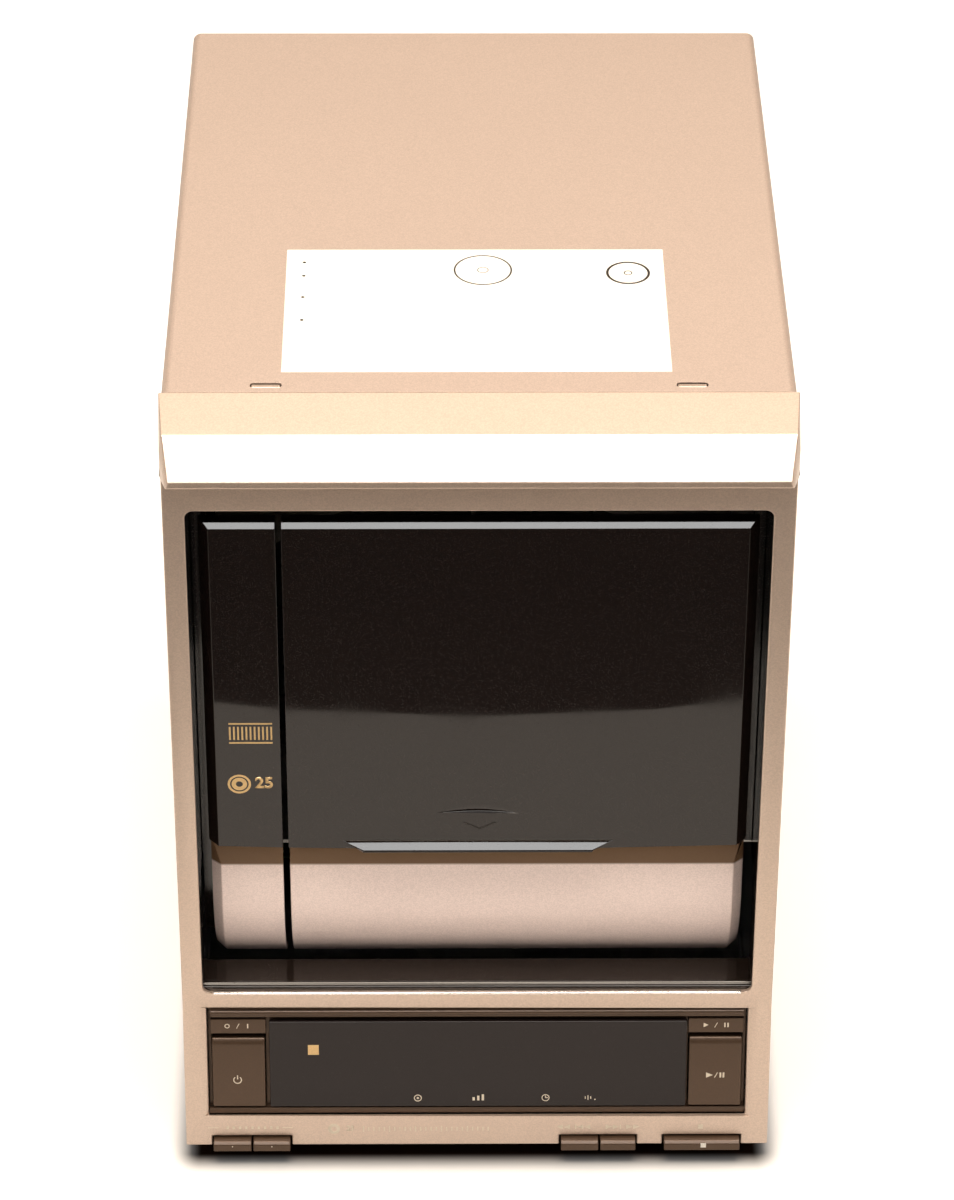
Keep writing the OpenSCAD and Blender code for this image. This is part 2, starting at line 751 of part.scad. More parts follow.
module side_frame(s) {
  x = s > 0 ? frame_x : -frame_x - sheet_t;
  block([x, 20, foot_h + 3], [x + sheet_t, cabinet_d - 4, frame_top]);
}
module side_frame_left() color(steel_c) place() side_frame(-1);
module side_frame_right() color(steel_c) place() side_frame(1);

module hinge_ear(x) {
  difference() {
    union() {
      block([x, pivot_y - 10, pivot_z], [x + 2, pivot_y + 10, deck_z + 1]);
      pin_x(10, x, x + 2, pivot_y, pivot_z);
    }
    pin_x(hinge_pin_r, x - 1, x + 3, pivot_y, pivot_z);
  }
}

module bay_deck() color(steel_c) place() difference() {
  union() {
    block([-deck_half, face_y + liner_back + 1, deck_z], [deck_half, cabinet_d - 4, deck_top]);
    hinge_ear(arm_left - 4);
    hinge_ear(arm_right + arm_t + 2);
    translate([drive_x, drive_y, deck_z - 2]) cylinder(r = shaft_r + 3, h = deck_t + 3.5);
  }
  translate([drive_x, drive_y, deck_z - 5]) cylinder(r = shaft_r + run_gap, h = 20);
  translate([0, rack_back, deck_z - 5]) cylinder(r = post_r, h = 20);
}

module rack_post() color(steel_c) place() translate([0, rack_back, 0]) {
  translate([0, 0, deck_z]) cylinder(r = post_r, h = rack_z + 32 + 3 - deck_z);
  translate([0, 0, deck_top]) cylinder(r = 16, h = gear_z - deck_top - 0.3);
}

// Fins between the discs, dished to follow the discs' lower edge
module rack_body() rotate_extrude($fn = 150) polygon([
  [post_r + run_gap, gear_z], [20, gear_z], [20, rack_z], [rack_r, rack_z],
  [rack_r, rack_z + 24], [rack_r - 2, rack_z + 26],
  [rack_r - 12, rack_z + 26], [100, rack_z + 20], [74, rack_z + 17], [48, rack_z + 21],
  [30, rack_z + 32], [post_r + run_gap, rack_z + 32]
]);

module disc_pocket(i) rotate([0, 0, 90 + i * 360 / disc_places]) {
  translate([disc_orbit, groove_w / 2, disc_z]) rotate([90, 0, 0]) cylinder(r = disc_r + 0.4, h = groove_w, $fn = 120);
  translate([disc_orbit + 30, -groove_w / 2, rack_z + 9]) cube([60, groove_w, 40]);
}

module disc_rack() color([0.55, 0.54, 0.52]) place() translate([0, rack_back, 0]) difference() {
  rack_body();
  for (i = [0 : disc_places - 1]) disc_pocket(i);
}

module rack_gear() color(white_c) place() translate([0, rack_back, gear_z]) difference() {
  gear(ring_teeth, ring_module, gear_h, drive_angle);
  translate([0, 0, -1]) cylinder(r = ring_pitch_r - 16, h = gear_h + 2, $fn = 120);
}

module rack_cap() color([0.55, 0.54, 0.52]) place() translate([0, rack_back, rack_z + 32]) {
  rotate_extrude() polygon([[0, 4], [post_r + 1, 4], [post_r + 1, 0], [22, 0], [22, 6], [19, 9], [0, 12]]);
}

module drive_gear() color(white_c) place() translate([drive_x, drive_y, 0]) {
  translate([0, 0, gear_z]) gear(pinion_teeth, ring_module, gear_h - 0.5, drive_angle + 180 + 180 / pinion_teeth);
  translate([0, 0, wheel_z]) gear(wheel_teeth, fine_module, wheel_h, 180);
  translate([0, 0, wheel_z]) cylinder(r = shaft_r, h = gear_z - wheel_z + 1);
}

module motor_pinion() color(brass_c) place() translate([motor_x, drive_y, wheel_z - 0.5]) difference() {
  gear(motor_teeth, fine_module, wheel_h + 1, 180 / motor_teeth);
  translate([0, 0, -1]) cylinder(r = 1 + run_gap, h = wheel_h + 3);
}

motor_h = 32;
motor_top = wheel_z - 2.5;

module rack_motor() color(steel_c) place() translate([motor_x, drive_y, motor_top]) {
  translate([0, 0, -motor_h]) cylinder(r = 14, h = motor_h);
  cylinder(r = 3, h = 1.2);
  cylinder(r = 1, h = wheel_h + 3);
}

module motor_bracket() color(steel_c) place() translate([motor_x, drive_y, 0]) difference() {
  union() {
    block([-12, -24, motor_top], [12, 24, motor_top + 1.2]);
    for (s = [-1, 1]) translate([0, s * 20, motor_top]) cylinder(r = 3, h = deck_z - motor_top);
  }
  translate([0, 0, motor_top - 5]) cylinder(r = 3, h = 10);
}

// Player unit

module player_bridge() color(steel_c) place() difference() {
  union() {
    block([-deck_half, bridge_y, bridge_low], [deck_half, bridge_y + bridge_t, frame_top]);
    block([-deck_half, bridge_y, frame_top - sheet_t], [deck_half, bridge_y + 14, frame_top]);
    for (s = [-1, 1]) {
      block([s * 5 - 1, lift_y - 5, lift_z - 6], [s * 5 + 1, bridge_y + 0.5, lift_z + 6]);
    }
    for (s = [-1, 1]) {
      z = spindle_z + s * 22;
      block([clamp_x - 6, clamp_y - 4, z - 1.5], [clamp_x + 4, bridge_y + 0.5, z + 1.5]);
    }
  }
  pin_x(2, -7, 7, lift_y, lift_z);
  translate([clamp_x, clamp_y, spindle_z - 40]) cylinder(r = 1.5, h = 80);
}

module lift_pin() color(steel_c) place() pin_x(2, -7, 7, lift_y, lift_z);

// The blade that tips a disc up out of its groove
module lift_lever() color(white_c) place() translate([0, lift_y, lift_z]) difference() {
  union() {
    pin_x(4.5, -3.6, 3.6, 0, 0);
    along_x(-0.8, 0.8) polygon([
      [-4, 3], [4, 0], [3, -30], [2.2, -60], [-2, -68], [-4.4, -66], [-3, -58], [-2.6, -30]
    ]);
  }
  pin_x(2 + run_gap, -8, 8, 0, 0);
}

module player_chassis() color([0.30, 0.30, 0.31]) place() difference() {
  low = spindle_z - 36;
  high = feed_z + 8;
  front = sled_back - sled_len - pickup_travel - 8;
  union() {
    block([plate_x, front, low], [plate_x + plate_t, bridge_y, high]);
    block([plate_x, bridge_y - 2, low], [plate_x + 18, bridge_y, high]);
    for (s = [-1, 1], y = [front + 1, spindle_y - 9]) {
      block([rod_x - 3.5, y, spindle_z + s * rod_gap / 2 - 3.5],
            [plate_x + 1, y + 4, spindle_z + s * rod_gap / 2 + 3.5]);
    }
  }
  for (s = [-1, 1]) pin_y(rod_r, front - 1, spindle_y - 3, rod_x, spindle_z + s * rod_gap / 2);
  block([plate_x - 1, front + 8, spindle_z - 12], [plate_x + 5, sled_back + 2, spindle_z + 12]);
  pin_x(table_r - 3, plate_x - 1, plate_x + 4, spindle_y, spindle_z);
  pin_x(1.5, plate_x - 1, plate_x + 4, feed_y, feed_z);
}

module spindle_motor() color(steel_c) place() difference() {
  union() {
    pin_x(table_r - 3, plate_x - 1, plate_x + 14, spindle_y, spindle_z);
    pin_x(table_r, plate_x + plate_t, plate_x + plate_t + 2, spindle_y, spindle_z);
  }
  pin_x(1 + run_gap, plate_x - 3, plate_x + 10, spindle_y, spindle_z);
}

module turntable() color(white_c) place() {
  pin_x(1, 1, plate_x + 9.5, spindle_y, spindle_z);
  pin_x(table_r, 1, 4, spindle_y, spindle_z);
  pin_x(4, 3, plate_x - 1.5, spindle_y, spindle_z);
  translate([1.5, spindle_y, spindle_z]) rotate([0, -90, 0]) cylinder(r1 = 7.3, r2 = 6, h = 3);
}

module clamp_pin() color(steel_c) place() {
  translate([clamp_x, clamp_y, spindle_z - 24]) cylinder(r = 1.5, h = 48);
}

module clamp_arm() color([0.30, 0.30, 0.31]) place() difference() {
  union() {
    translate([clamp_x, clamp_y, spindle_z - 20]) cylinder(r = 3.2, h = 40);
    block([clamp_x - 3, spindle_y, spindle_z - 9], [clamp_x - 0.6, clamp_y, spindle_z + 9]);
    pin_x(11, clamp_x - 3, clamp_x - 0.6, spindle_y, spindle_z);
  }
  translate([clamp_x, clamp_y, spindle_z - 30]) cylinder(r = 1.5 + run_gap, h = 60);
  pin_x(3.5 + fit_gap, clamp_x - 5, clamp_x + 1, spindle_y, spindle_z);
}

module clamp_puck() color(black_c) place() difference() {
  union() {
    pin_x(14, -7, -1.5, spindle_y, spindle_z);
    pin_x(3.5, clamp_x - 4, -6, spindle_y, spindle_z);
    pin_x(5.5, clamp_x - 4.5, clamp_x - 3.3, spindle_y, spindle_z);
    pin_x(5.5, clamp_x - 0.3, clamp_x + 1, spindle_y, spindle_z);
  }
  pin_x(8, -4, 0, spindle_y, spindle_z);
}

module guide_rods() color(steel_c) place() for (s = [-1, 1]) {
  pin_y(rod_r, sled_back - sled_len - pickup_travel - 8, spindle_y - 4, rod_x, spindle_z + s * rod_gap / 2);
}

module pickup_sled() color(black_c) place() difference() {
  low = spindle_z - sled_h / 2;
  high = spindle_z + sled_h / 2;
  pitch = PI * feed_module;
  union() {
    block([6, sled_back - sled_len, low], [17, sled_back, high]);
    block([12, sled_back - sled_len, high - 1], [16, sled_back, high + 2.8]);
    block([12, sled_back - 1, high + 0.5], [16, sled_back + 12, high + 2.8]);
    intersection() {
      for (i = [-20 : 20]) translate([12, feed_y + (i + 0.5) * pitch, high + 2.7]) {
        rotate([90, 0, 90]) linear_extrude(4) polygon([
          [-0.3 * pitch, 0], [0.3 * pitch, 0], [0.14 * pitch, 1.8], [-0.14 * pitch, 1.8]
        ]);
      }
      block([11, sled_back - sled_len, low], [17, sled_back + 12, high + 10]);
    }
  }
  for (s = [-1, 1]) pin_y(rod_r + run_gap, sled_back - 50, sled_back + 5, rod_x, spindle_z + s * rod_gap / 2);
}

module pickup_lens() color([0.5, 0.6, 0.8]) place() difference() {
  pin_x(4.5, 3.4, 6, sled_back - 8, spindle_z);
  pin_x(2.4, 3, 4.4, sled_back - 8, spindle_z);
}

module feed_axle() color(steel_c) place() pin_x(1.5, 8, plate_x + plate_t, feed_y, feed_z);

module feed_gear() color(white_c) place() difference() {
  translate([12.2, feed_y, feed_z]) rotate([90, 0, 90]) gear(feed_teeth, feed_module, 3.6, -90);
  pin_x(1.5 + run_gap, 5, 25, feed_y, feed_z);
}

// Electronics

module power_transformer() color([0.35, 0.35, 0.36]) place() {
  translate([cabinet_w / 2 - 56, cabinet_d - 76, foot_h + 1 + sheet_t]) transformer_blocks();
}

module transformer_blocks() {
  block([-33, -20, 0], [33, 20, 3]);
  block([-28, -16, 3], [28, 16, 52]);
  block([-17, -27, 8], [17, 27, 46]);
}

module main_board() color(board_c) place() {
  left = -cabinet_w / 2 + 18;
  block([left, cabinet_d - 162, foot_h + 9], [30, cabinet_d - 6, foot_h + 10.6]);
  for (x = [left + 6, 24], y = [cabinet_d - 156, cabinet_d - 12]) {
    translate([x, y, foot_h + 1 + sheet_t]) cylinder(r = 3, h = 8 - sheet_t);
  }
}

module board_parts() color(black_c) place() {
  z = foot_h + 10.6;
  translate([0, cabinet_d, z]) {
    for (x = [-90, -60, -20], y = [-132, -94]) translate([x, y, 0]) cube([18, 18, 3]);
    for (x = [-20, 0], y = [-52, -34]) translate([x, y, 0]) cylinder(r = 6, h = 22);
    translate([4, -138, 0]) cube([5, 40, 24]);
  }
}

module jack_block() color(black_c) place() difference() {
  block([jack_x[0] - 12, cabinet_d - 20, foot_h + 10.6],
        [jack_x[1] + 12, cabinet_d - sheet_t - fit_gap, jack_z + 12]);
  for (x = jack_x) pin_y(3.4, cabinet_d - 12, cabinet_d + 1, x, jack_z);
}

module jack_shells() color(brass_c) place() for (x = jack_x) difference() {
  union() {
    pin_y(4.15, cabinet_d, cabinet_d + jack_out, x, jack_z);
    pin_y(3.4, cabinet_d - 12, cabinet_d + 1, x, jack_z);
  }
  pin_y(1.6, cabinet_d - 2, cabinet_d + jack_out + 1, x, jack_z);
}

module cord_gland() color(black_c) place() difference() {
  union() {
    pin_y(6, cabinet_d - 8, cabinet_d + 1, gland_x, gland_z);
    pin_y(9, cabinet_d, cabinet_d + 4, gland_x, gland_z);
    pin_y(8, cabinet_d - 8, cabinet_d - sheet_t - 0.1, gland_x, gland_z);
  }
  pin_y(3.4, cabinet_d - 9, cabinet_d + 5, gland_x, gland_z);
}

cabinet_cover();
base_pan();
rear_panel();
feet();
foot_pads();
front_bezel();
bay_surround();
strip_window();
strip_panel();
door_window();
door_lower_panel();
door_ledge();
door_frame();
door_hinge_pins();
control_panel();
legend_plates();
display_window();
display_tube();
control_board();
tact_switches();
key_rail();
power_button();
play_button();
disc_back_key();
disc_next_key();
skip_back_key();
skip_next_key();
stop_key();
side_frame_left();
side_frame_right();
bay_deck();
rack_post();
disc_rack();
rack_gear();
rack_cap();
drive_gear();
motor_bracket();
rack_motor();
motor_pinion();
player_bridge();
lift_pin();
lift_lever();
player_chassis();
spindle_motor();
turntable();
clamp_pin();
clamp_arm();
clamp_puck();
guide_rods();
pickup_sled();
pickup_lens();
feed_gear();
feed_axle();
power_transformer();
main_board();
board_parts();
jack_block();
jack_shells();
cord_gland();
case_screws();
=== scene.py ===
"""Looks of an upright disc changer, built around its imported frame. Metres, front faces -Y."""

import json
import math

import bpy
from mathutils import Matrix, Vector

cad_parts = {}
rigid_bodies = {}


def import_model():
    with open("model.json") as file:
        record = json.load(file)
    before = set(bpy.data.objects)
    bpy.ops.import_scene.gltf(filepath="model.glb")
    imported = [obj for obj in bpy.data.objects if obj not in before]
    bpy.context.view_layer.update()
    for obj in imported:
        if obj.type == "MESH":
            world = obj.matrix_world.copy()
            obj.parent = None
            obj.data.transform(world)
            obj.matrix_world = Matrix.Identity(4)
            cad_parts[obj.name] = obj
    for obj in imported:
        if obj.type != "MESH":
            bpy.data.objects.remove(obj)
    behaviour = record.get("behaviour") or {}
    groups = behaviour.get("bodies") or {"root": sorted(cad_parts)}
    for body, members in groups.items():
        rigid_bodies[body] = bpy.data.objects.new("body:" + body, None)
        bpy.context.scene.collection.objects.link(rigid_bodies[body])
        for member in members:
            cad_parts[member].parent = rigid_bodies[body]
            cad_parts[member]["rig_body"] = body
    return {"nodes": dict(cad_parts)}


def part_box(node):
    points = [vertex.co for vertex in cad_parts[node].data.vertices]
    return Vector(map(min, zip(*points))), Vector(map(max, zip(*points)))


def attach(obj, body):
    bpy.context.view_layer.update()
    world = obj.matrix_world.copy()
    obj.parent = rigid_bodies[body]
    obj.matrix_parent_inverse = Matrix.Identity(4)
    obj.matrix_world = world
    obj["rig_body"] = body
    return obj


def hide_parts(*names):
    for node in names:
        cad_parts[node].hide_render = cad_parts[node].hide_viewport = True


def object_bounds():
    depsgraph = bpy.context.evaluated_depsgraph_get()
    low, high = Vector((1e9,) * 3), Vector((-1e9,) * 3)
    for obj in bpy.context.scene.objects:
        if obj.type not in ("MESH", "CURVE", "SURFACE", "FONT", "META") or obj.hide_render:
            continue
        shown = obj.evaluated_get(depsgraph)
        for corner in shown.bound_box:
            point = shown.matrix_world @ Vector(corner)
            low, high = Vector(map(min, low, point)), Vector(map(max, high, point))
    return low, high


bl_info = {
    "name": "Disc changer finish",
    "version": (1, 0, 0),
    "blender": (4, 5, 0),
    "location": "View3D > Sidebar > Changer",
    "description": "Finishes, printed marks, label, stage and camera for an upright disc changer",
    "category": "Object",
}

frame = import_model()
CAD_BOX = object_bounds()
MM = 0.001

# Main planes, taken from the frame; the reach, crease and lean are those of the part's source
COVER_LOW, COVER_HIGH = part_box("cabinet_cover")
WINDOW_LOW, WINDOW_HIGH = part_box("door_window")
TOP_Z = COVER_HIGH.z
COVER_Y = COVER_LOW.y
FACE_REACH = 24 * MM
FACE_Y = COVER_Y - FACE_REACH
CREASE_Z = 91 * MM
CONTROL_LEAN, CONTROL_HEIGHT = 13.7 * MM, 83 * MM
LEAN = math.atan2(CONTROL_LEAN, CONTROL_HEIGHT)

# How far the pieces of the controls lie behind the slope of the bezel
PLATE_DEPTH, BUTTON_DEPTH, GLASS_DEPTH, KEY_DEPTH = 2.4 * MM, 1 * MM, 0.8 * MM, -5 * MM
KEY_MARK_Z = -74.4

# Mesh finish
EDGE_ANGLE = math.radians(35)
SMOOTH_ANGLE = math.radians(32)
LIP_ANGLE = math.radians(40)
LABEL_THICKNESS = 0.12 * MM
LABEL_INK = 0.03 * MM
# Painted shadow under the window's overhang: the lower panels are coloured dark from this far below the
# window up
PAINTED_SHADOW_HEIGHT = 12.6 * MM
PAINTED_SHADOW_COLOUR = (0.17, 0.095, 0.045, 1)

# The photograph's view, fitted to its outlines
CAMERA_PLACE = Vector((-18.15 * MM, COVER_Y - 1713.9 * MM, 1482.9 * MM))
CAMERA_PITCH, CAMERA_YAW, CAMERA_ROLL = math.radians(34.59), math.radians(0.585), math.radians(0.235)
SENSOR_WIDTH = 36

# Light and floor
AIM = Vector((0, -0.1, 0.3))
KEY_COLOUR, FILL_COLOUR, BEHIND_COLOUR = (1.0, 0.88, 0.74), (1.0, 0.92, 0.84), (1.0, 0.9, 0.78)
SKY_DIFFUSE, SKY_GLOSSY = (*KEY_COLOUR, 1), (0.55, 0.34, 0.17, 1)
FILL_POWER = 4
BEHIND_SHARE = 0.22
FLOOR_SIZE = 14
# FLOOR_SHADE, SHADE_INSET and SHADE_FADE give the painted shade round the feet: its colour, its start inside
# the body's outline and its fade
FLOOR_COLOUR, FLOOR_SHADE = (0.86, 0.84, 0.82, 1), (0.016, 0.008, 0.005, 1)
FLOOR_GLOW, FLOOR_REFLECTED = 0.4, 0.3
SHADE_INSET, SHADE_FADE = 8 * MM, 18 * MM
CARD_NEAR, CARD_FAR, CARD_HALF, CARD_CURVE, CARD_Z = -0.501, -4.4, 1.6, 0.6, 0.002


# Scene settings


def length_property(name, description, default):
    return bpy.props.FloatProperty(name=name, description=description, default=default, unit="LENGTH")


def power_property(name, description, default):
    return bpy.props.FloatProperty(name=name, description=description, default=default, unit="POWER")


def colour_property(name, description, default):
    return bpy.props.FloatVectorProperty(
        name=name, description=description, default=default, subtype="COLOR", min=0, max=1
    )


class ChangerSizes(bpy.types.PropertyGroup):
    """Sizes of the finish that a user would change."""

    metal_edge: length_property("Sheet edge", "Rounding of folded and cut sheet edges", 0.3 * MM)
    plastic_edge: length_property("Moulded edge", "Rounding of moulded edges", 0.6 * MM)
    ink_height: length_property("Ink height", "Thickness of the printed marks", 0.06 * MM)
    label_width: length_property("Label width", "Width of the blank label on top", 173 * MM)
    label_depth: length_property("Label depth", "Depth of the blank label on top", 107 * MM)


class ChangerColours(bpy.types.PropertyGroup):
    """Linear colours of the main finishes."""

    cover: colour_property("Cover paint", "Textured paint of the sheet cover", (0.52, 0.415, 0.36))
    silver: colour_property("Silver paint", "Metallic paint of the moulded front", (0.58, 0.465, 0.39))
    panel: colour_property("Panel paint", "Metallic paint of the door's lower panel", (0.90, 0.77, 0.75))
    bronze: colour_property("Bronze", "Metallic brown of the buttons", (0.078, 0.046, 0.027))
    smoke: colour_property("Smoked gloss", "Dark gloss of the door and display", (0.011, 0.007, 0.006))
    gold: colour_property("Gold ink", "Ink of the marks on the door", (0.72, 0.50, 0.24))
    cream: colour_property("Cream ink", "Ink of the marks on the controls", (0.80, 0.72, 0.60))


class ChangerStage(bpy.types.PropertyGroup):
    """Camera and light."""

    lens: bpy.props.FloatProperty(
        name="Lens", description="Focal length for a 36 mm long side", default=137.9, min=10
    )
    key_power: power_property("Key light", "Power of the large light overhead", 66)
    gloss_power: power_property("Gloss light", "Power of the strip light that shows in reflections", 44)
    sky: bpy.props.FloatProperty(name="Sky", description="Strength of the soft light all round", default=0.30)


# Shader maths


class Wire:
    """A shader socket that takes part in Python sums; each sum adds a Math node."""

    def __init__(self, finish, socket):
        self.finish = finish
        self.socket = socket

    def math(self, operation, first, second):
        return self.finish.add("ShaderNodeMath", {"operation": operation}, first, second)

    def __add__(self, other):
        return self.math("ADD", self, other)

    def __sub__(self, other):
        return self.math("SUBTRACT", self, other)

    def __rsub__(self, other):
        return self.math("SUBTRACT", other, self)

    def __mul__(self, other):
        return self.math("MULTIPLY", self, other)

    def __pow__(self, other):
        return self.math("POWER", self, other)

    def __gt__(self, other):
        return self.math("GREATER_THAN", self, other)

    def __lt__(self, other):
        return self.math("LESS_THAN", self, other)


class Graph:
    """Adds nodes and links to a node tree."""

    def __init__(self, tree):
        self.tree = tree

    def feed(self, socket, value):
        if isinstance(value, Wire):
            self.tree.links.new(value.socket, socket)
        elif value is not None:
            socket.default_value = value

    def add(self, kind, settings=None, *values, output=0, **named):
        node = self.tree.nodes.new(kind)
        for key, value in (settings or {}).items():
            setattr(node, key, value)
        for socket, value in zip(node.inputs, values):
            self.feed(socket, value)
        for key, value in named.items():
            self.feed(node.inputs[key.replace("_", " ")], value)
        return Wire(self, node.outputs[output])

    def mix(self, factor, first, second):
        node = self.tree.nodes.new("ShaderNodeMix")
        node.data_type = "RGBA"
        for index, value in ((0, factor), (6, first), (7, second)):
            self.feed(node.inputs[index], value)
        return Wire(self, node.outputs[2])

    def rays(self, *names):
        path = self.tree.nodes.new("ShaderNodeLightPath")
        return [Wire(self, path.outputs[name]) for name in names]


class Finish(Graph):
    """One procedural material: a Principled shader and the pattern nodes that feed it."""

    def __init__(self, name, **constants):
        self.material = bpy.data.materials.new(name)
        self.material.use_nodes = True
        super().__init__(self.material.node_tree)
        self.shader = self.tree.nodes["Principled BSDF"]
        for socket, value in constants.items():
            self.shader.inputs[socket.replace("_", " ").title().replace("Ior", "IOR")].default_value = value
        self.place = self.add("ShaderNodeTexCoord", {}, output=3)

    def noise(self, scale, detail=2.0, stretch=(1, 1, 1)):
        where = self.add("ShaderNodeMapping", {}, self.place, Scale=stretch)
        return self.add("ShaderNodeTexNoise", {}, Vector=where, Scale=scale, Detail=detail)

    def flakes(self, scale):
        return self.add("ShaderNodeTexVoronoi", {}, Vector=self.place, Scale=scale, output=1)

    def grey_of(self, colour):
        return self.add("ShaderNodeSeparateColor", {}, colour)

    def span(self, value, low, high, start=0.0, end=1.0):
        return self.add("ShaderNodeMapRange", {}, value, low, high, start, end)

    def bump(self, height, strength, distance):
        return self.add("ShaderNodeBump", {}, Strength=strength, Distance=distance, Height=height)

    def set(self, **values):
        for socket, value in values.items():
            self.feed(self.shader.inputs[socket.replace("_", " ")], value)
        return self.material


def opaque(colour):
    return (*colour, 1.0)


def shade(colour, factor):
    return tuple(min(1.0, c * factor) for c in colour[:3]) + (1.0,)


# Finishes


def flake_paint(name, colour, flake_scale, spread, roughness, metallic, grain, painted_shadow_from=None):
    """Metallic paint: tiny flakes over a slightly uneven coat, and a painted shadow band above a height."""
    f = Finish(name, specular_ior_level=0.5)
    flake = f.grey_of(f.flakes(flake_scale))
    fine = f.noise(flake_scale * 0.6, 1.0)
    cloud = f.noise(9, 3.0)
    level = flake * 0.6 + fine * 0.4
    dark = shade(colour, 1 - spread)
    light = shade(colour, 1 + spread)
    speckled = f.mix(f.span(level, 0.25, 0.75), dark, light)
    wear_and_painted_shadow = f.mix(f.span(cloud, 0.3, 0.7, 0, 0.10), speckled, shade(colour, 0.86))
    # Painted shadow: above the given height the coat turns to the dark shadow colour
    if painted_shadow_from is not None:
        height = f.add("ShaderNodeSeparateXYZ", {}, f.place, output=2)
        wear_and_painted_shadow = f.mix(f.span(height, painted_shadow_from, painted_shadow_from + 1.2 * MM), wear_and_painted_shadow, PAINTED_SHADOW_COLOUR)
    rough = f.span(flake, 0, 1, roughness - 0.06, roughness + 0.08)
    return f.set(
        Base_Color=wear_and_painted_shadow, Roughness=rough, Metallic=f.span(flake, 0, 1, metallic * 0.8, metallic),
        Normal=f.bump(fine, grain, 0.1 * MM)
    )


def smoked_gloss(name, colour, roughness=0.02, dust=0.02, level=0.5):
    """Dark glossy moulding with faint dust, smears and hairline scratches."""
    f = Finish(name, ior=1.5, specular_ior_level=level)
    smear = f.noise(26, 4.0, (1, 1, 0.35))
    specks = f.noise(2200, 0.0) > 0.74
    hair = f.span(f.noise(420, 2.0, (0.03, 0.03, 1)), 0.62, 0.70)
    base = f.mix(specks * dust * 8, opaque(colour), (0.10, 0.095, 0.09, 1))
    rough = f.span(smear, 0.35, 0.75, roughness, roughness + 0.05) + hair * 0.02 + specks * 0.12
    wave = f.noise(7, 1.0)
    return f.set(Base_Color=base, Roughness=rough, Normal=f.bump(wave, 0.03, 2 * MM))


def moulded(name, colour, roughness=0.5, grain=0.25, scale=1600, tint=0.12):
    """Plain moulded plastic with a fine spark-eroded grain."""
    f = Finish(name)
    grit = f.noise(scale, 2.0)
    cloud = f.noise(30, 3.0)
    base = f.mix(f.span(cloud, 0.3, 0.7), shade(colour, 1 - tint), shade(colour, 1 + tint))
    rough = f.span(grit, 0.3, 0.7, roughness - 0.07, roughness + 0.09)
    return f.set(Base_Color=base, Roughness=rough, Normal=f.bump(grit, grain, 0.08 * MM))


def plated_sheet(name, colour=(0.62, 0.61, 0.58), roughness=0.34):
    """Zinc plated sheet with a faint spangle and rolling lines."""
    f = Finish(name)
    spangle = f.grey_of(f.flakes(140))
    lines = f.noise(900, 2.0, (0.02, 1, 1))
    base = f.mix(f.span(spangle, 0, 1, 0.1, 0.9), shade(colour, 0.86), shade(colour, 1.1))
    rough = f.span(spangle, 0, 1, roughness - 0.08, roughness + 0.10) + lines * 0.08
    return f.set(Base_Color=base, Roughness=rough, Metallic=1.0, Normal=f.bump(lines, 0.08, 0.05 * MM))


def turned_metal(name, colour, roughness=0.18):
    """Turned or ground metal with fine lines."""
    f = Finish(name)
    lines = f.noise(2600, 1.0, (1, 1, 0.05))
    stain = f.noise(60, 3.0)
    base = f.mix(f.span(stain, 0.35, 0.7), shade(colour, 1.05), shade(colour, 0.82))
    rough = f.span(lines, 0.3, 0.7, roughness - 0.05, roughness + 0.08)
    return f.set(Base_Color=base, Roughness=rough, Metallic=1.0, Normal=f.bump(lines, 0.06, 0.05 * MM))


def circuit_board(name):
    """Solder mask over copper tracks with tinned pads."""
    f = Finish(name)
    tracks = f.add("ShaderNodeTexBrick", {}, Vector=f.place, Scale=55.0, Mortar_Size=0.012, output=1)
    pads = f.add("ShaderNodeTexVoronoi", {}, Vector=f.place, Scale=230.0) < 0.16
    mask = f.mix(f.noise(700, 2.0), (0.022, 0.13, 0.045, 1), (0.035, 0.18, 0.07, 1))
    lined = f.mix(tracks * 0.6, mask, (0.09, 0.30, 0.12, 1))
    base = f.mix(pads, lined, (0.60, 0.60, 0.56, 1))
    return f.set(
        Base_Color=base, Roughness=f.span(pads * 1.0, 0, 1, 0.30, 0.22), Metallic=pads * 0.9,
        Normal=f.bump(tracks + pads, 0.2, 0.05 * MM)
    )


def printed_ink(name, colour, roughness=0.38, metallic=0.0):
    """Screen-printed ink, slightly broken up at a fine scale."""
    f = Finish(name)
    wear = f.noise(3200, 2.0)
    base = f.mix(f.span(wear, 0.35, 0.8), opaque(colour), shade(colour, 0.72))
    rough = f.span(wear, 0.3, 0.7, roughness - 0.06, roughness + 0.1)
    return f.set(Base_Color=base, Metallic=metallic, Roughness=rough, Normal=f.bump(wear, 0.1, 0.02 * MM))


def label_film(name):
    """White label film with a faint yellowing and paper tooth."""
    f = Finish(name)
    tooth = f.noise(1500, 2.0)
    age = f.noise(20, 3.0)
    base = f.mix(f.span(age, 0.3, 0.75), (0.95, 0.94, 0.92, 1), (0.91, 0.88, 0.83, 1))
    rough = f.span(tooth, 0.3, 0.7, 0.30, 0.42)
    return f.set(Base_Color=base, Roughness=rough, Normal=f.bump(tooth, 0.08, 0.03 * MM))


def lens_coating(name):
    """A coated lens: dark blue with a violet edge."""
    f = Finish(name, ior=1.6, coat_weight=1.0)
    tint = f.noise(300, 2.0)
    base = f.mix(tint, (0.05, 0.08, 0.32, 1), (0.16, 0.06, 0.30, 1))
    return f.set(Base_Color=base, Roughness=tint * 0.05 + 0.02)


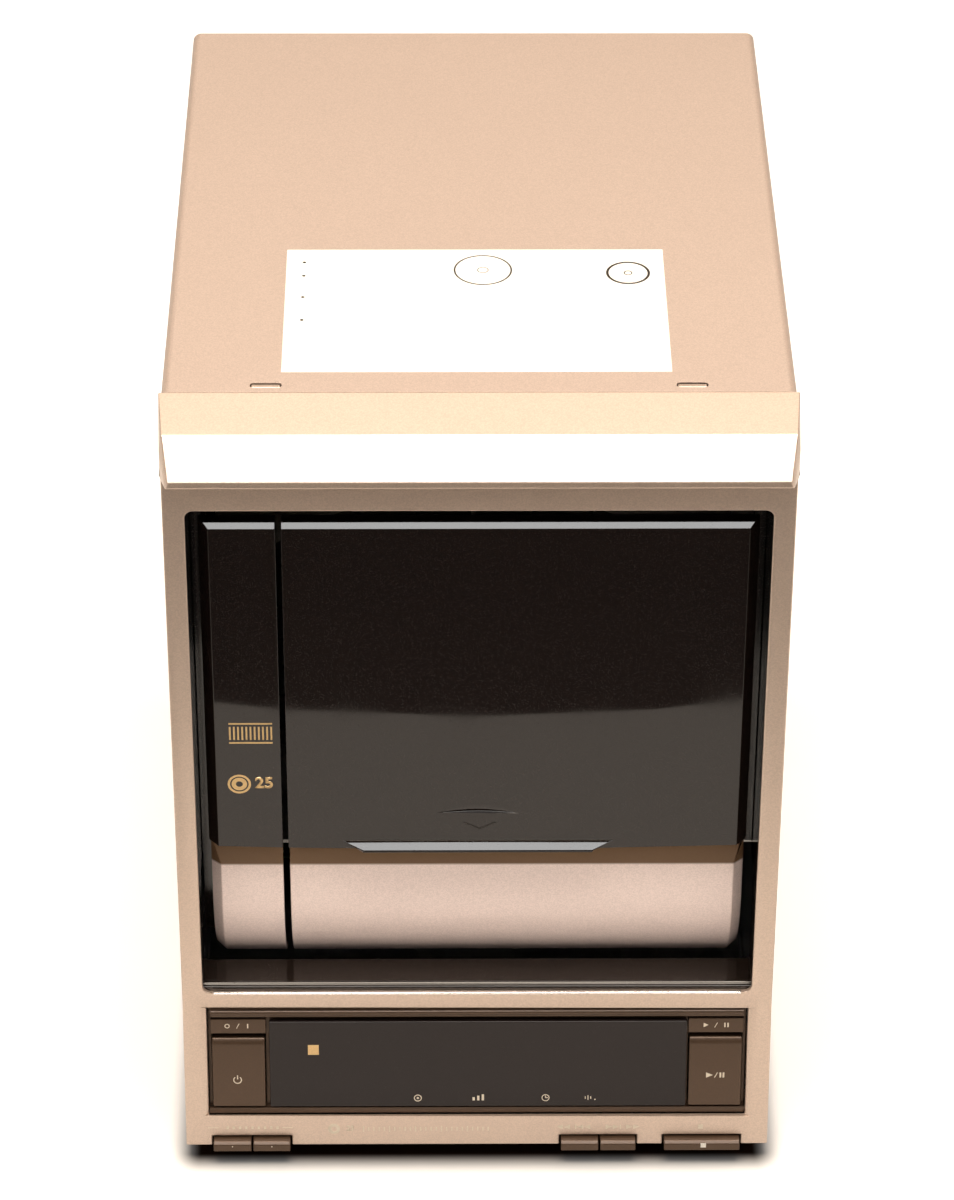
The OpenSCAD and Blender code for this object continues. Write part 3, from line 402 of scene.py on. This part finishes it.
FINISH_MAKERS = {
    "cover": lambda c: flake_paint("cover_paint", c.cover, 2400, 0.10, 0.46, 0.30, 0.30),
    "silver": lambda c: flake_paint("silver_paint", c.silver, 2200, 0.09, 0.38, 0.72, 0.20),
    # The lower panels get a painted shadow just under the window's overhang
    "panel": lambda c: flake_paint(
        "panel_paint_with_painted_shadow", c.panel, 2200, 0.08, 0.52, 0.20, 0.20, painted_shadow_from=WINDOW_LOW.z - PAINTED_SHADOW_HEIGHT
    ),
    "bronze": lambda c: flake_paint("bronze_plastic", c.bronze, 2600, 0.10, 0.36, 0.45, 0.18),
    "smoke": lambda c: smoked_gloss("smoked_gloss", c.smoke, 0.02, 0.02, 0.42),
    "display": lambda c: smoked_gloss("display_gloss", (0.016, 0.011, 0.011), 0.03, 0.01, 0.25),
    "liner": lambda c: smoked_gloss("liner_gloss", (0.016, 0.011, 0.009), 0.08, 0.04),
    "black": lambda c: moulded("black_plastic", (0.020, 0.020, 0.021)),
    "rubber": lambda c: moulded("rubber_pad", (0.022, 0.021, 0.020), 0.8, 0.5, 900),
    "rack": lambda c: moulded("rack_grey", (0.24, 0.23, 0.215), 0.46, 0.2),
    "nylon": lambda c: moulded("white_nylon", (0.72, 0.71, 0.66), 0.40, 0.12),
    "sheet": lambda c: plated_sheet("steel_sheet"),
    "can": lambda c: turned_metal("motor_steel", (0.55, 0.55, 0.56), 0.26),
    "ground": lambda c: turned_metal("ground_steel", (0.70, 0.70, 0.71), 0.14),
    "brass": lambda c: turned_metal("brass_gold", (0.80, 0.58, 0.22), 0.22),
    "board": lambda c: circuit_board("board_green"),
    "tube": lambda c: smoked_gloss("display_tube", (0.03, 0.05, 0.05), 0.05, 0.01),
    "lens": lambda c: lens_coating("lens_coating"),
    "gold": lambda c: printed_ink("gold_ink", c.gold, 0.34, 0.5),
    "cream": lambda c: printed_ink("cream_ink", c.cream),
    "label": lambda c: label_film("label_film"),
    "grey_ink": lambda c: printed_ink("grey_ink", (0.03, 0.025, 0.02)),
    "white": lambda c: printed_ink("white_ink", (0.86, 0.84, 0.80)),
    # A lighter, glossier copy of the silver paint: a painted highlight, which also reflects the lamps
    "lip_highlight": lambda c: flake_paint("painted_highlight_edge", (0.88, 0.82, 0.78), 2200, 0.05, 0.20, 0.9, 0.05),
    "relief": lambda c: moulded("moulded_relief", (0.020, 0.015, 0.012), 0.5),
}
made = {}


def finish_named(key):
    if key not in made:
        made[key] = FINISH_MAKERS[key](bpy.context.scene.changer_colours)
    return made[key]


# Mesh helpers


def pick(*objects):
    if bpy.context.mode != "OBJECT":
        bpy.ops.object.mode_set(mode="OBJECT")
    bpy.ops.object.select_all(action="DESELECT")
    for o in objects:
        o.select_set(True)
    bpy.context.view_layer.objects.active = objects[0]


def cover_with(obj, key):
    obj.data.materials.clear()
    obj.data.materials.append(finish_named(key))


def settle(obj, name, key, body):
    """Names a finished piece, gives it its finish and lets it ride on its body."""
    pick(obj)
    bpy.ops.object.transform_apply(location=True, rotation=True, scale=True)
    obj.name = name
    obj.data.name = name
    cover_with(obj, key)
    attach(obj, body)
    return obj


def round_edges(obj, width, segments=2):
    pick(obj)
    bevel = obj.modifiers.new("edges", "BEVEL")
    bevel.width = width
    bevel.segments = segments
    bevel.limit_method = "ANGLE"
    bevel.angle_limit = EDGE_ANGLE
    bevel.use_clamp_overlap = False
    bevel.harden_normals = False
    bpy.ops.object.modifier_apply(modifier=bevel.name)


def weigh_normals(obj):
    """Lets the large flat faces keep their own normals beside the rounded edges."""
    weights = obj.modifiers.new("weights", "WEIGHTED_NORMAL")
    weights.weight = 100
    weights.keep_sharp = True
    bpy.ops.object.modifier_apply(modifier=weights.name)


def dressed(node, key, edge, segments=2):
    """A copy of a CAD node with joined corners and rounded edges, which stands for that node."""
    source = frame["nodes"][node]
    copy = bpy.data.objects.new(node + "_finished", source.data.copy())
    bpy.context.scene.collection.objects.link(copy)
    pick(copy)
    bpy.ops.object.mode_set(mode="EDIT")
    bpy.ops.mesh.select_all(action="SELECT")
    bpy.ops.mesh.remove_doubles(threshold=0.02 * MM)
    bpy.ops.mesh.dissolve_limited(angle_limit=math.radians(1))
    bpy.ops.object.mode_set(mode="OBJECT")
    if copy.data.has_custom_normals:
        bpy.ops.mesh.customdata_custom_splitnormals_clear()
    round_edges(copy, edge, segments)
    bpy.ops.object.shade_smooth_by_angle(angle=SMOOTH_ANGLE)
    weigh_normals(copy)
    cover_with(copy, key)
    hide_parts(node)
    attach(copy, source["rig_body"])
    return copy


def finished(node, key):
    """A CAD node that shows as it is, with its finish."""
    cover_with(frame["nodes"][node], key)


def upright_plane(y):
    """Local (x, height, out) on a vertical front at a place along Y, to the frame."""
    return Matrix.Translation((0, y, 0)) @ Matrix(((1, 0, 0, 0), (0, 0, -1, 0), (0, 1, 0, 0), (0, 0, 0, 1)))


def control_plane(depth):
    """Local (x, height, out) on the leaning controls, at a depth behind their face, to the frame."""
    lean = Matrix.Rotation(-LEAN, 4, "X")
    return Matrix.Translation((0, FACE_Y, CREASE_Z)) @ lean @ upright_plane(depth)


def top_plane(z):
    return Matrix.Translation((0, 0, z))


def flat_polygon(corners):
    """A flat face in local (x, height), drawn as a circle primitive with its corners moved."""
    bpy.ops.mesh.primitive_circle_add(vertices=len(corners), radius=MM, fill_type="NGON")
    face = bpy.context.active_object
    for vertex, (x, z) in zip(face.data.vertices, corners):
        vertex.co = (x, z, 0)
    return face


# The shapes of the marks take millimetres


def outline(*corners):
    return flat_polygon([(x * MM, z * MM) for x, z in corners])


def ring(x, z, outer, inner=0, vertices=48):
    """A flat ring, or a full disc where it has no inner radius."""
    bpy.ops.mesh.primitive_circle_add(
        vertices=vertices, radius=outer * MM, fill_type="NGON", location=(x * MM, z * MM, 0)
    )
    disc = bpy.context.active_object
    if inner:
        bpy.ops.object.mode_set(mode="EDIT")
        bpy.ops.mesh.select_all(action="SELECT")
        bpy.ops.mesh.inset(thickness=(outer - inner) * MM)
        bpy.ops.mesh.delete(type="FACE")
        bpy.ops.object.mode_set(mode="OBJECT")
    return disc


def bar(x, z, width, height, lean=0):
    """A bar; lean moves its top to the right and its foot to the left."""
    w, h = width / 2, height / 2
    return outline((x - w - lean, z - h), (x + w - lean, z - h), (x + w + lean, z + h), (x - w + lean, z + h))


def slanted(x, z, width, height):
    return bar(x, z, width, height, height / 4)


def arrow(x, z, width, height, way=1):
    """A triangle that points right, or left with way -1."""
    w, h = way * width / 2, way * height / 2
    return outline((x - w, z - h), (x + w, z), (x - w, z + h))


def number(digits, x, z, size):
    """Plain digits in the default font, centred."""
    bpy.ops.object.text_add(location=(x * MM, z * MM, 0))
    text = bpy.context.active_object
    text.data.body = digits
    text.data.size = size * MM
    text.data.align_x = "CENTER"
    text.data.align_y = "CENTER"
    text.data.fill_mode = "FRONT"
    text.data.offset = 0.03 * size * MM
    bpy.ops.object.convert(target="MESH")
    return bpy.context.active_object


def raised(name, shapes, plane, key, body, height=None):
    """Joins flat shapes, gives them thickness (an ink's, if none is given) and lays them on a plane."""
    pick(*shapes)
    bpy.ops.object.transform_apply(location=True, rotation=True, scale=True)
    if len(shapes) > 1:
        bpy.ops.object.join()
    mark = bpy.context.active_object
    thick = height or bpy.context.scene.changer_sizes.ink_height
    bpy.ops.object.mode_set(mode="EDIT")
    bpy.ops.mesh.select_all(action="SELECT")
    bpy.ops.mesh.normals_make_consistent(inside=False)
    bpy.ops.mesh.extrude_region_move(TRANSFORM_OT_translate={"value": (0, 0, thick)})
    bpy.ops.mesh.select_all(action="SELECT")
    bpy.ops.mesh.normals_make_consistent(inside=False)
    bpy.ops.object.mode_set(mode="OBJECT")
    mark.matrix_world = plane
    return settle(mark, name, key, body)


def block(low, high):
    """A box primitive between two corners, to be shaped further."""
    low, high = Vector(low), Vector(high)
    bpy.ops.mesh.primitive_cube_add(size=1, location=(low + high) / 2)
    box = bpy.context.active_object
    box.scale = high - low
    bpy.ops.object.transform_apply(location=False, rotation=False, scale=True)
    return box


class Step(bpy.types.Operator):
    """Common part of the changer's operators."""

    bl_options = {"REGISTER", "UNDO"}

    def execute(self, context):
        self.make(context.scene.changer_sizes)
        return {"FINISHED"}


# Pieces


class CHANGER_OT_cabinet(Step):
    """Finish the sheet cover, rear panel, feet and screws"""

    bl_idname = "changer.cabinet"
    bl_label = "Cabinet"

    def make(self, sizes):
        dressed("cabinet_cover", "cover", sizes.metal_edge)
        dressed("rear_panel", "sheet", 0.2 * MM)
        dressed("feet", "black", 0.5 * MM)
        dressed("case_screws", "black", 0.4 * MM)
        for node, key in (
            ("foot_pads", "rubber"), ("base_pan", "sheet"), ("cord_gland", "black"), ("jack_block", "black"),
            ("jack_shells", "brass"),
        ):
            finished(node, key)
        self.hook_tabs()

    def hook_tabs(self):
        """Tabs of the front moulding that show in the two slots of the cover."""
        for side, name in ((-1, "hook_tab_left"), (1, "hook_tab_right")):
            x, half = side * 94 * MM, 6.4 * MM
            low = (x - half, COVER_Y + 4.6 * MM, TOP_Z - 1.6 * MM)
            tab = block(low, (x + half, COVER_Y + 7.1 * MM, TOP_Z - 0.35 * MM))
            round_edges(tab, 0.4 * MM, 3)
            settle(tab, name, "silver", "chassis")


class CHANGER_OT_bezel(Step):
    """Finish the moulded front, its liner and sill"""

    bl_idname = "changer.bezel"
    bl_label = "Front moulding"

    def make(self, sizes):
        dressed("front_bezel", "silver", sizes.plastic_edge, 3)
        dressed("bay_surround", "liner", 0.5 * MM, 3)
        self.lip()

    def lip(self):
        """A strip along the foot of the door opening, lighter and glossier than the silver paint: a painted
        highlight on the moulding's rounded edge, which also catches the lamps.
        """
        surround_low, surround_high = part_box("bay_surround")
        inset = 7 * MM
        low = (surround_low.x + inset, FACE_Y - 0.5 * MM, CREASE_Z - 0.9 * MM)
        lip = block(low, (surround_high.x - inset, FACE_Y + 1.6 * MM, CREASE_Z + 0.5 * MM))
        round_edges(lip, 0.6 * MM, 4)
        bpy.ops.object.shade_smooth_by_angle(angle=LIP_ANGLE)
        settle(lip, "opening_lip", "lip_highlight", "chassis")


class CHANGER_OT_door(Step):
    """Finish the fixed strip, the tilting door and its ledge"""

    bl_idname = "changer.door"
    bl_label = "Door"

    def make(self, sizes):
        for node in ("strip_window", "door_window"):
            self.steepen(dressed(node, "smoke", 0.35 * MM, 3))
        for node in ("strip_panel", "door_lower_panel"):
            dressed(node, "panel", 0.5 * MM, 3)
        self.ledge()
        finished("door_frame", "black")
        finished("door_hinge_pins", "ground")

    def steepen(self, window):
        """Brings the window's upper edge forward, so that its top bevel faces the light."""
        for vertex in window.data.vertices:
            if vertex.co.z > WINDOW_HIGH.z - 0.5 * MM and vertex.co.y < WINDOW_LOW.y + 3.4 * MM:
                vertex.co.y -= 0.6 * MM

    def ledge(self):
        """The pull ledge with its sloping, polished top face."""
        low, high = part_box("door_ledge")
        near, fall, taper = 1 * MM, 3.4 * MM, 10.6 * MM
        ledge = block(low, high)
        for vertex in ledge.data.vertices:
            place = ledge.matrix_world @ vertex.co
            front, foot = place.y < high.y - near, place.z < low.z + near
            if front and place.z > low.z + near:
                vertex.co.z -= fall
            if foot or front:
                vertex.co.x -= math.copysign(taper, vertex.co.x)
        round_edges(ledge, 0.3 * MM, 3)
        bpy.ops.object.shade_smooth_by_angle(angle=SMOOTH_ANGLE)
        settle(ledge, "door_ledge_finished", "smoke", "door")
        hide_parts("door_ledge")


class CHANGER_OT_controls(Step):
    """Finish the control panel, display, buttons and keys"""

    bl_idname = "changer.controls"
    bl_label = "Controls"

    def make(self, sizes):
        dressed("control_panel", "bronze", 0.3 * MM)
        dressed("legend_plates", "bronze", 0.35 * MM)
        dressed("display_window", "display", 0.5 * MM, 3)
        for node in ("power_button", "play_button"):
            dressed(node, "bronze", 0.5 * MM, 3)
        for node in ("disc_back_key", "disc_next_key", "skip_back_key", "skip_next_key", "stop_key"):
            dressed(node, "bronze", 0.4 * MM, 3)
        for node, key in (
            ("display_tube", "tube"), ("control_board", "board"), ("tact_switches", "black"),
            ("key_rail", "black"),
        ):
            finished(node, key)


class CHANGER_OT_marks(Step):
    """Print the generic symbols on the controls and the door"""

    bl_idname = "changer.marks"
    bl_label = "Marks"

    def make(self, sizes):
        self.over_keys()
        self.on_legend_plates()
        self.on_buttons()
        self.on_display()
        self.on_strip()
        self.on_door()

    def over_keys(self):
        """Marks on the bezel over the small keys, and those on the keys."""
        slope, z = control_plane(0), KEY_MARK_Z
        search = [bar(x, z, 5, 0.4) for x in (-126.9, -91.2)]
        search += [bar(-120 + i * 3, z, 1.1, 1.6) for i in range(9)]
        raised("search_mark", search, slope, "cream", "chassis")
        for name, first, way, spots, stop in (
            ("skip_back_mark", 39.8, -1, (0, 3.4, 9.8, 13.2), 7.7),
            ("skip_next_mark", 63.0, 1, (0.6, 4.0, 10.4, 13.8), 6.1),
        ):
            shapes = [arrow(first + x, z, 3.2, 2.5, way) for x in spots]
            shapes += [bar(first + stop, z, 0.55, 2.5), ring(first + 7.2 - 1.1 * way, z, 0.35, vertices=12)]
            raised(name, shapes, slope, "cream", "chassis")
        raised("stop_mark", [bar(107.7, z, 2.4, 2.4)], slope, "cream", "chassis")
        places = [bar(-54.6 + i * 2.5, z - 0.9, 0.6, 2.2 if i % 5 else 3.2) for i in range(25)]
        places += [ring(-68.8, z - 0.8, 2.9, 1.3), number("25", -61, z - 0.6, 3.8)]
        raised("places_mark", places, slope, "cream", "chassis")
        key = control_plane(KEY_DEPTH)
        raised("stop_square", [bar(108.9, -81.9, 2.6, 2.4)], key, "white", "stop_key")
        for name, x, body in (
            ("disc_back_dot", -117.6, "disc_back_key"), ("disc_next_dot", -98.7, "disc_next_key")
        ):
            raised(name, [ring(x, -82, 0.3, vertices=16)], key, "cream", body)

    def on_legend_plates(self):
        """A ring and a line for ready, and play with pause."""
        plate, z = control_plane(PLATE_DEPTH), -19.3
        ready = [ring(-119.2, z, 1.25, 0.8), slanted(-114.1, z, 0.35, 2.6), bar(-109.4, z, 0.6, 2.4)]
        raised("ready_mark", ready, plate, "cream", "chassis")
        play = [arrow(109.2, z, 2.3, 2.4), slanted(114, z, 0.35, 2.6)]
        play += [bar(x, z, 0.7, 2.4) for x in (118.2, 119.7)]
        raised("play_legend", play, plate, "cream", "chassis")

    def on_buttons(self):
        """Play with pause, and the power symbol."""
        face, z = control_plane(BUTTON_DEPTH), -46.2
        play = [arrow(111.4, z, 3.3, 2.9), slanted(114.5, z, 0.4, 2.8)]
        play += [bar(x, z, 0.85, 2.8) for x in (116.6, 118.1)]
        raised("play_mark", play, face, "cream", "play_button")
        x, z = -114.7, -48.3
        outer, inner, steps, gap = 2.1, 1.6, 32, math.radians(38)
        turns = [gap + i * (2 * math.pi - 2 * gap) / steps for i in range(steps + 1)]
        path = [(outer, t) for t in turns] + [(inner, t) for t in reversed(turns)]
        arc = outline(*((x + r * math.sin(t), z + r * math.cos(t)) for r, t in path))
        raised("power_mark", [arc, bar(x, z + 1.5, 0.55, 2.2)], face, "cream", "power_button")

    def on_display(self):
        """Plain symbols for disc, track and time, and the gold square."""
        glass, z = control_plane(GLASS_DEPTH), -58.5
        disc = [ring(-28.4, z, 1.9, 1.45), ring(-28.4, z, 0.6, vertices=20)]
        track = [bar(-1.6 + i * 2.2, z + h / 2 - 0.6, 1.1, 1.6 + h) for i, h in enumerate((0.2, 1.0, 1.8))]
        hours = [ring(32.9, z, 1.9, 1.5), bar(32.9, z + 0.5, 0.4, 1.4), bar(33.4, z, 1.2, 0.4)]
        seconds = [bar(52 + i * 1.3, z, 0.45, 2.4 if i == 1 else 1.4) for i in range(3)]
        seconds += [ring(56.6, z - 1, 0.35, vertices=12)]
        for name, shapes in (
            ("disc_mark", disc), ("track_mark", track), ("time_mark", hours), ("seconds_mark", seconds)
        ):
            raised(name, shapes, glass, "cream", "chassis")
        raised("gold_square", [bar(-78.2, -31.6, 5.2, 5.4)], glass, "gold", "chassis")

    def on_strip(self):
        """Gold symbols on the fixed strip: a row of standing discs, and the number of places."""
        face = upright_plane(WINDOW_LOW.y)
        x, z = -104.3, 236.6
        row = [bar(x + (i - 5) * 1.9, z, 0.8, 7.4) for i in range(11)]
        row += [bar(x, z - 5.4, 20, 0.9), bar(x, z + 5.4, 20, 0.9)]
        raised("rack_mark", row, face, "gold", "chassis")
        x, z = -110.2, 207.6
        count = [ring(x, z, 5.4, 4.3), ring(x, z, 3.6, 1.6), number("25", -98.7, 208, 8.6)]
        raised("count_mark", count, face, "gold", "chassis")

    def on_door(self):
        """A moulded arrow under the fingertip hollow that shows how the door tips out."""
        face = upright_plane(WINDOW_LOW.y)
        x, z = 0.8, 183
        chevron = outline(
            (x - 8, z + 2), (x - 6.4, z + 2), (x, z - 1.2), (x + 6.4, z + 2), (x + 8, z + 2), (x, z - 2)
        )
        raised("open_mark", [chevron], face, "relief", "door", height=0.2 * MM)


class CHANGER_OT_label(Step):
    """Lay the label on the cover: bare, with two plain disc rings and four dots"""

    bl_idname = "changer.label"
    bl_label = "Label"

    def make(self, sizes):
        front = COVER_Y / MM
        width, depth = sizes.label_width / MM, sizes.label_depth / MM
        sheet = bar(-1, front + 16.5 + depth / 2, width, depth)
        raised("top_label", [sheet], top_plane(TOP_Z), "label", "chassis", height=LABEL_THICKNESS)
        shapes = [ring(2.5, front + 105, 13.4, 12.6), ring(2.5, front + 105, 2.6, 2.2)]
        shapes += [ring(68.9, front + 102.3, 10.1, 8.9), ring(68.9, front + 102.3, 2, 1.5)]
        shapes += [ring(-79.4, front + y, 0.8, vertices=16) for y in (112, 100, 81, 61)]
        film = top_plane(TOP_Z + LABEL_THICKNESS)
        raised("label_print", shapes, film, "grey_ink", "chassis", height=LABEL_INK)


class CHANGER_OT_rack(Step):
    """Finish the rotary rack and its drive"""

    bl_idname = "changer.rack"
    bl_label = "Rotary rack"

    def make(self, sizes):
        for node, key in (
            ("bay_deck", "sheet"), ("rack_post", "ground"), ("disc_rack", "rack"), ("rack_gear", "nylon"),
            ("rack_cap", "rack"), ("drive_gear", "nylon"), ("motor_bracket", "sheet"), ("rack_motor", "can"),
            ("motor_pinion", "brass"), ("side_frame_left", "sheet"), ("side_frame_right", "sheet"),
        ):
            finished(node, key)


class CHANGER_OT_player(Step):
    """Finish the player unit and the electronics"""

    bl_idname = "changer.player"
    bl_label = "Player unit"

    def make(self, sizes):
        for node, key in (
            ("player_bridge", "sheet"), ("lift_pin", "ground"), ("lift_lever", "nylon"),
            ("player_chassis", "black"), ("spindle_motor", "can"), ("turntable", "nylon"),
            ("clamp_pin", "ground"), ("clamp_arm", "black"), ("clamp_puck", "black"),
            ("guide_rods", "ground"), ("pickup_sled", "black"), ("pickup_lens", "lens"),
            ("feed_gear", "nylon"), ("feed_axle", "ground"), ("power_transformer", "can"),
            ("main_board", "board"), ("board_parts", "black"),
        ):
            finished(node, key)


class CHANGER_OT_stage(Step):
    """Set the floor, the light and the camera"""

    bl_idname = "changer.stage"
    bl_label = "Stage"

    def make(self, sizes):
        stage = bpy.context.scene.changer_stage
        bpy.context.scene.view_settings.view_transform = "Standard"
        self.floor()
        self.dark_card()
        self.sky(stage.sky)
        self.lamp("key_light", (0, -0.28, 2.3), (1.5, 1.1), stage.key_power, KEY_COLOUR)
        self.lamp("fill_left", (-1.9, -0.5, 1.1), (1.2, 1.2), FILL_POWER, FILL_COLOUR)
        self.lamp("fill_right", (1.9, -0.5, 1.1), (1.2, 1.2), FILL_POWER, FILL_COLOUR)
        gloss = self.lamp("gloss_light", (0, -1.3, 1.66), (2.2, 0.55), stage.gloss_power, (1, 1, 1))
        behind_power = stage.gloss_power * BEHIND_SHARE
        behind = self.lamp("gloss_behind", (0, 1.15, 2.05), (2.2, 0.7), behind_power, BEHIND_COLOUR)
        gloss.visible_diffuse = False
        behind.visible_diffuse = False
        self.camera(stage.lens)

    def staged(self, plane, name):
        """Names a stage surface and gives it a material of its own; returns its graph and shader."""
        plane.name = name
        material = bpy.data.materials.new(name)
        material.use_nodes = True
        plane.data.materials.append(material)
        return Graph(material.node_tree), material.node_tree.nodes["Principled BSDF"]

    def floor(self):
        """A pale floor: white to the camera and in reflections, with a painted shade round the feet."""
        bpy.ops.mesh.primitive_plane_add(size=FLOOR_SIZE, location=(0, 0, 0))
        graph, shader = self.staged(bpy.context.active_object, "floor")
        camera, glossy, through = graph.rays("Is Camera Ray", "Is Glossy Ray", "Is Transmission Ray")
        # Painted shade: the mask darkens the floor's colour and dims its glow round the feet
        shade_near = self.painted_contact_shade(graph)
        graph.feed(shader.inputs["Base Color"], graph.mix(shade_near, FLOOR_COLOUR, FLOOR_SHADE))
        shader.inputs["Roughness"].default_value = 0.9
        shader.inputs["Specular IOR Level"].default_value = 0.0
        shader.inputs["Emission Color"].default_value = (1, 1, 1, 1)
        lift = camera * FLOOR_GLOW + glossy * FLOOR_REFLECTED + through * FLOOR_GLOW
        graph.feed(shader.inputs["Emission Strength"], lift * (1 - shade_near))

    def painted_contact_shade(self, graph):
        """A painted soft brown shade on the floor under the body: 1 beneath it, 0 from 10 mm outside."""
        place = graph.add("ShaderNodeTexCoord", {}, output=3)
        split = [graph.add("ShaderNodeSeparateXYZ", {}, place, output=i) for i in range(2)]
        middle = (CAD_BOX[0] + CAD_BOX[1]) / 2
        half = (CAD_BOX[1] - CAD_BOX[0]) / 2
        reach = []
        for axis in range(2):
            across = graph.add("ShaderNodeMath", {"operation": "ABSOLUTE"}, split[axis] - middle[axis])
            beyond = across - (half[axis] - SHADE_INSET)
            reach.append(graph.add("ShaderNodeMath", {"operation": "MAXIMUM"}, beyond, 0.0))
        away = (reach[0] ** 2.0 + reach[1] ** 2.0) ** 0.5
        smooth = {"interpolation_type": "SMOOTHSTEP"}
        return graph.add("ShaderNodeMapRange", smooth, away, 0.0, SHADE_FADE, 1.0, 0.0)

    def dark_card(self):
        """A dark surface beyond the table's edge, seen only in reflections; its near edge is curved."""
        steps = [-CARD_HALF + i * 0.1 for i in range(33)]
        edge = [(x, CARD_NEAR - CARD_CURVE * x ** 2) for x in steps]
        card = flat_polygon([(-CARD_HALF, CARD_FAR)] + edge + [(CARD_HALF, CARD_FAR)])
        card.location.z = CARD_Z
        graph, shader = self.staged(card, "dark_card")
        shader.inputs["Base Color"].default_value = (0.01, 0.01, 0.01, 1)
        card.visible_camera = False
        card.visible_diffuse = False
        card.visible_shadow = False
        card.visible_transmission = False

    def sky(self, strength):
        """Warm light all round, which the camera sees as white."""
        world = bpy.data.worlds.new("sky")
        bpy.context.scene.world = world
        world.use_nodes = True
        graph = Graph(world.node_tree)
        camera, glossy, through = graph.rays("Is Camera Ray", "Is Glossy Ray", "Is Transmission Ray")
        background = world.node_tree.nodes["Background"]
        seen = camera + through
        warm = graph.mix(glossy, SKY_DIFFUSE, SKY_GLOSSY)
        graph.feed(background.inputs["Color"], graph.mix(seen, warm, (1, 1, 1, 1)))
        graph.feed(background.inputs["Strength"], seen * (1 - strength) + strength)

    def lamp(self, name, place, size, power, colour):
        """A rectangular light that points at the body."""
        data = bpy.data.lights.new(name, "AREA")
        data.shape = "RECTANGLE"
        data.size, data.size_y = size
        data.energy = power
        data.color = colour
        lamp = bpy.data.objects.new(name, data)
        bpy.context.scene.collection.objects.link(lamp)
        lamp.location = place
        lamp.rotation_euler = (AIM - Vector(place)).to_track_quat("-Z", "Y").to_euler()
        return lamp

    def camera(self, lens):
        """The photograph's view: from the front, 34.6 degrees down."""
        flat = Vector((math.sin(CAMERA_YAW), math.cos(CAMERA_YAW), 0))
        ahead = flat * math.cos(CAMERA_PITCH) - Vector((0, 0, math.sin(CAMERA_PITCH)))
        level = Vector((math.cos(CAMERA_YAW), -math.sin(CAMERA_YAW), 0))
        up = level.cross(ahead)
        right = math.cos(CAMERA_ROLL) * level + math.sin(CAMERA_ROLL) * up
        upward = -math.sin(CAMERA_ROLL) * level + math.cos(CAMERA_ROLL) * up
        data = bpy.data.cameras.new("camera")
        data.lens = lens
        data.sensor_width = SENSOR_WIDTH
        data.clip_start = 0.05
        camera = bpy.data.objects.new("camera", data)
        bpy.context.scene.collection.objects.link(camera)
        axes = Matrix((right, upward, -ahead)).transposed().to_4x4()
        camera.matrix_world = Matrix.Translation(CAMERA_PLACE) @ axes
        bpy.context.scene.camera = camera


class CHANGER_PT_panel(bpy.types.Panel):
    """Lists the changer's steps and settings"""

    bl_idname = "CHANGER_PT_panel"
    bl_label = "Disc changer"
    bl_space_type = "VIEW_3D"
    bl_region_type = "UI"
    bl_category = "Changer"

    def draw(self, context):
        scene = context.scene
        for group in (scene.changer_sizes, scene.changer_colours, scene.changer_stage):
            for name in group.bl_rna.properties.keys():
                if name not in ("rna_type", "name"):
                    self.layout.prop(group, name)
        for step in STEPS:
            self.layout.operator(step.bl_idname)


STEPS = (
    CHANGER_OT_stage, CHANGER_OT_cabinet, CHANGER_OT_bezel, CHANGER_OT_door, CHANGER_OT_controls,
    CHANGER_OT_marks, CHANGER_OT_label, CHANGER_OT_rack, CHANGER_OT_player,
)
GROUPS = {"changer_sizes": ChangerSizes, "changer_colours": ChangerColours, "changer_stage": ChangerStage}


def register():
    for kind in (*GROUPS.values(), *STEPS, CHANGER_PT_panel):
        bpy.utils.register_class(kind)
    for name, kind in GROUPS.items():
        setattr(bpy.types.Scene, name, bpy.props.PointerProperty(type=kind))


def unregister():
    for name in GROUPS:
        delattr(bpy.types.Scene, name)
    for kind in reversed((*GROUPS.values(), *STEPS, CHANGER_PT_panel)):
        bpy.utils.unregister_class(kind)


def main():
    register()
    for step in STEPS:
        area, name = step.bl_idname.split(".")
        getattr(getattr(bpy.ops, area), name)()


if __name__ == "__main__":
    main()
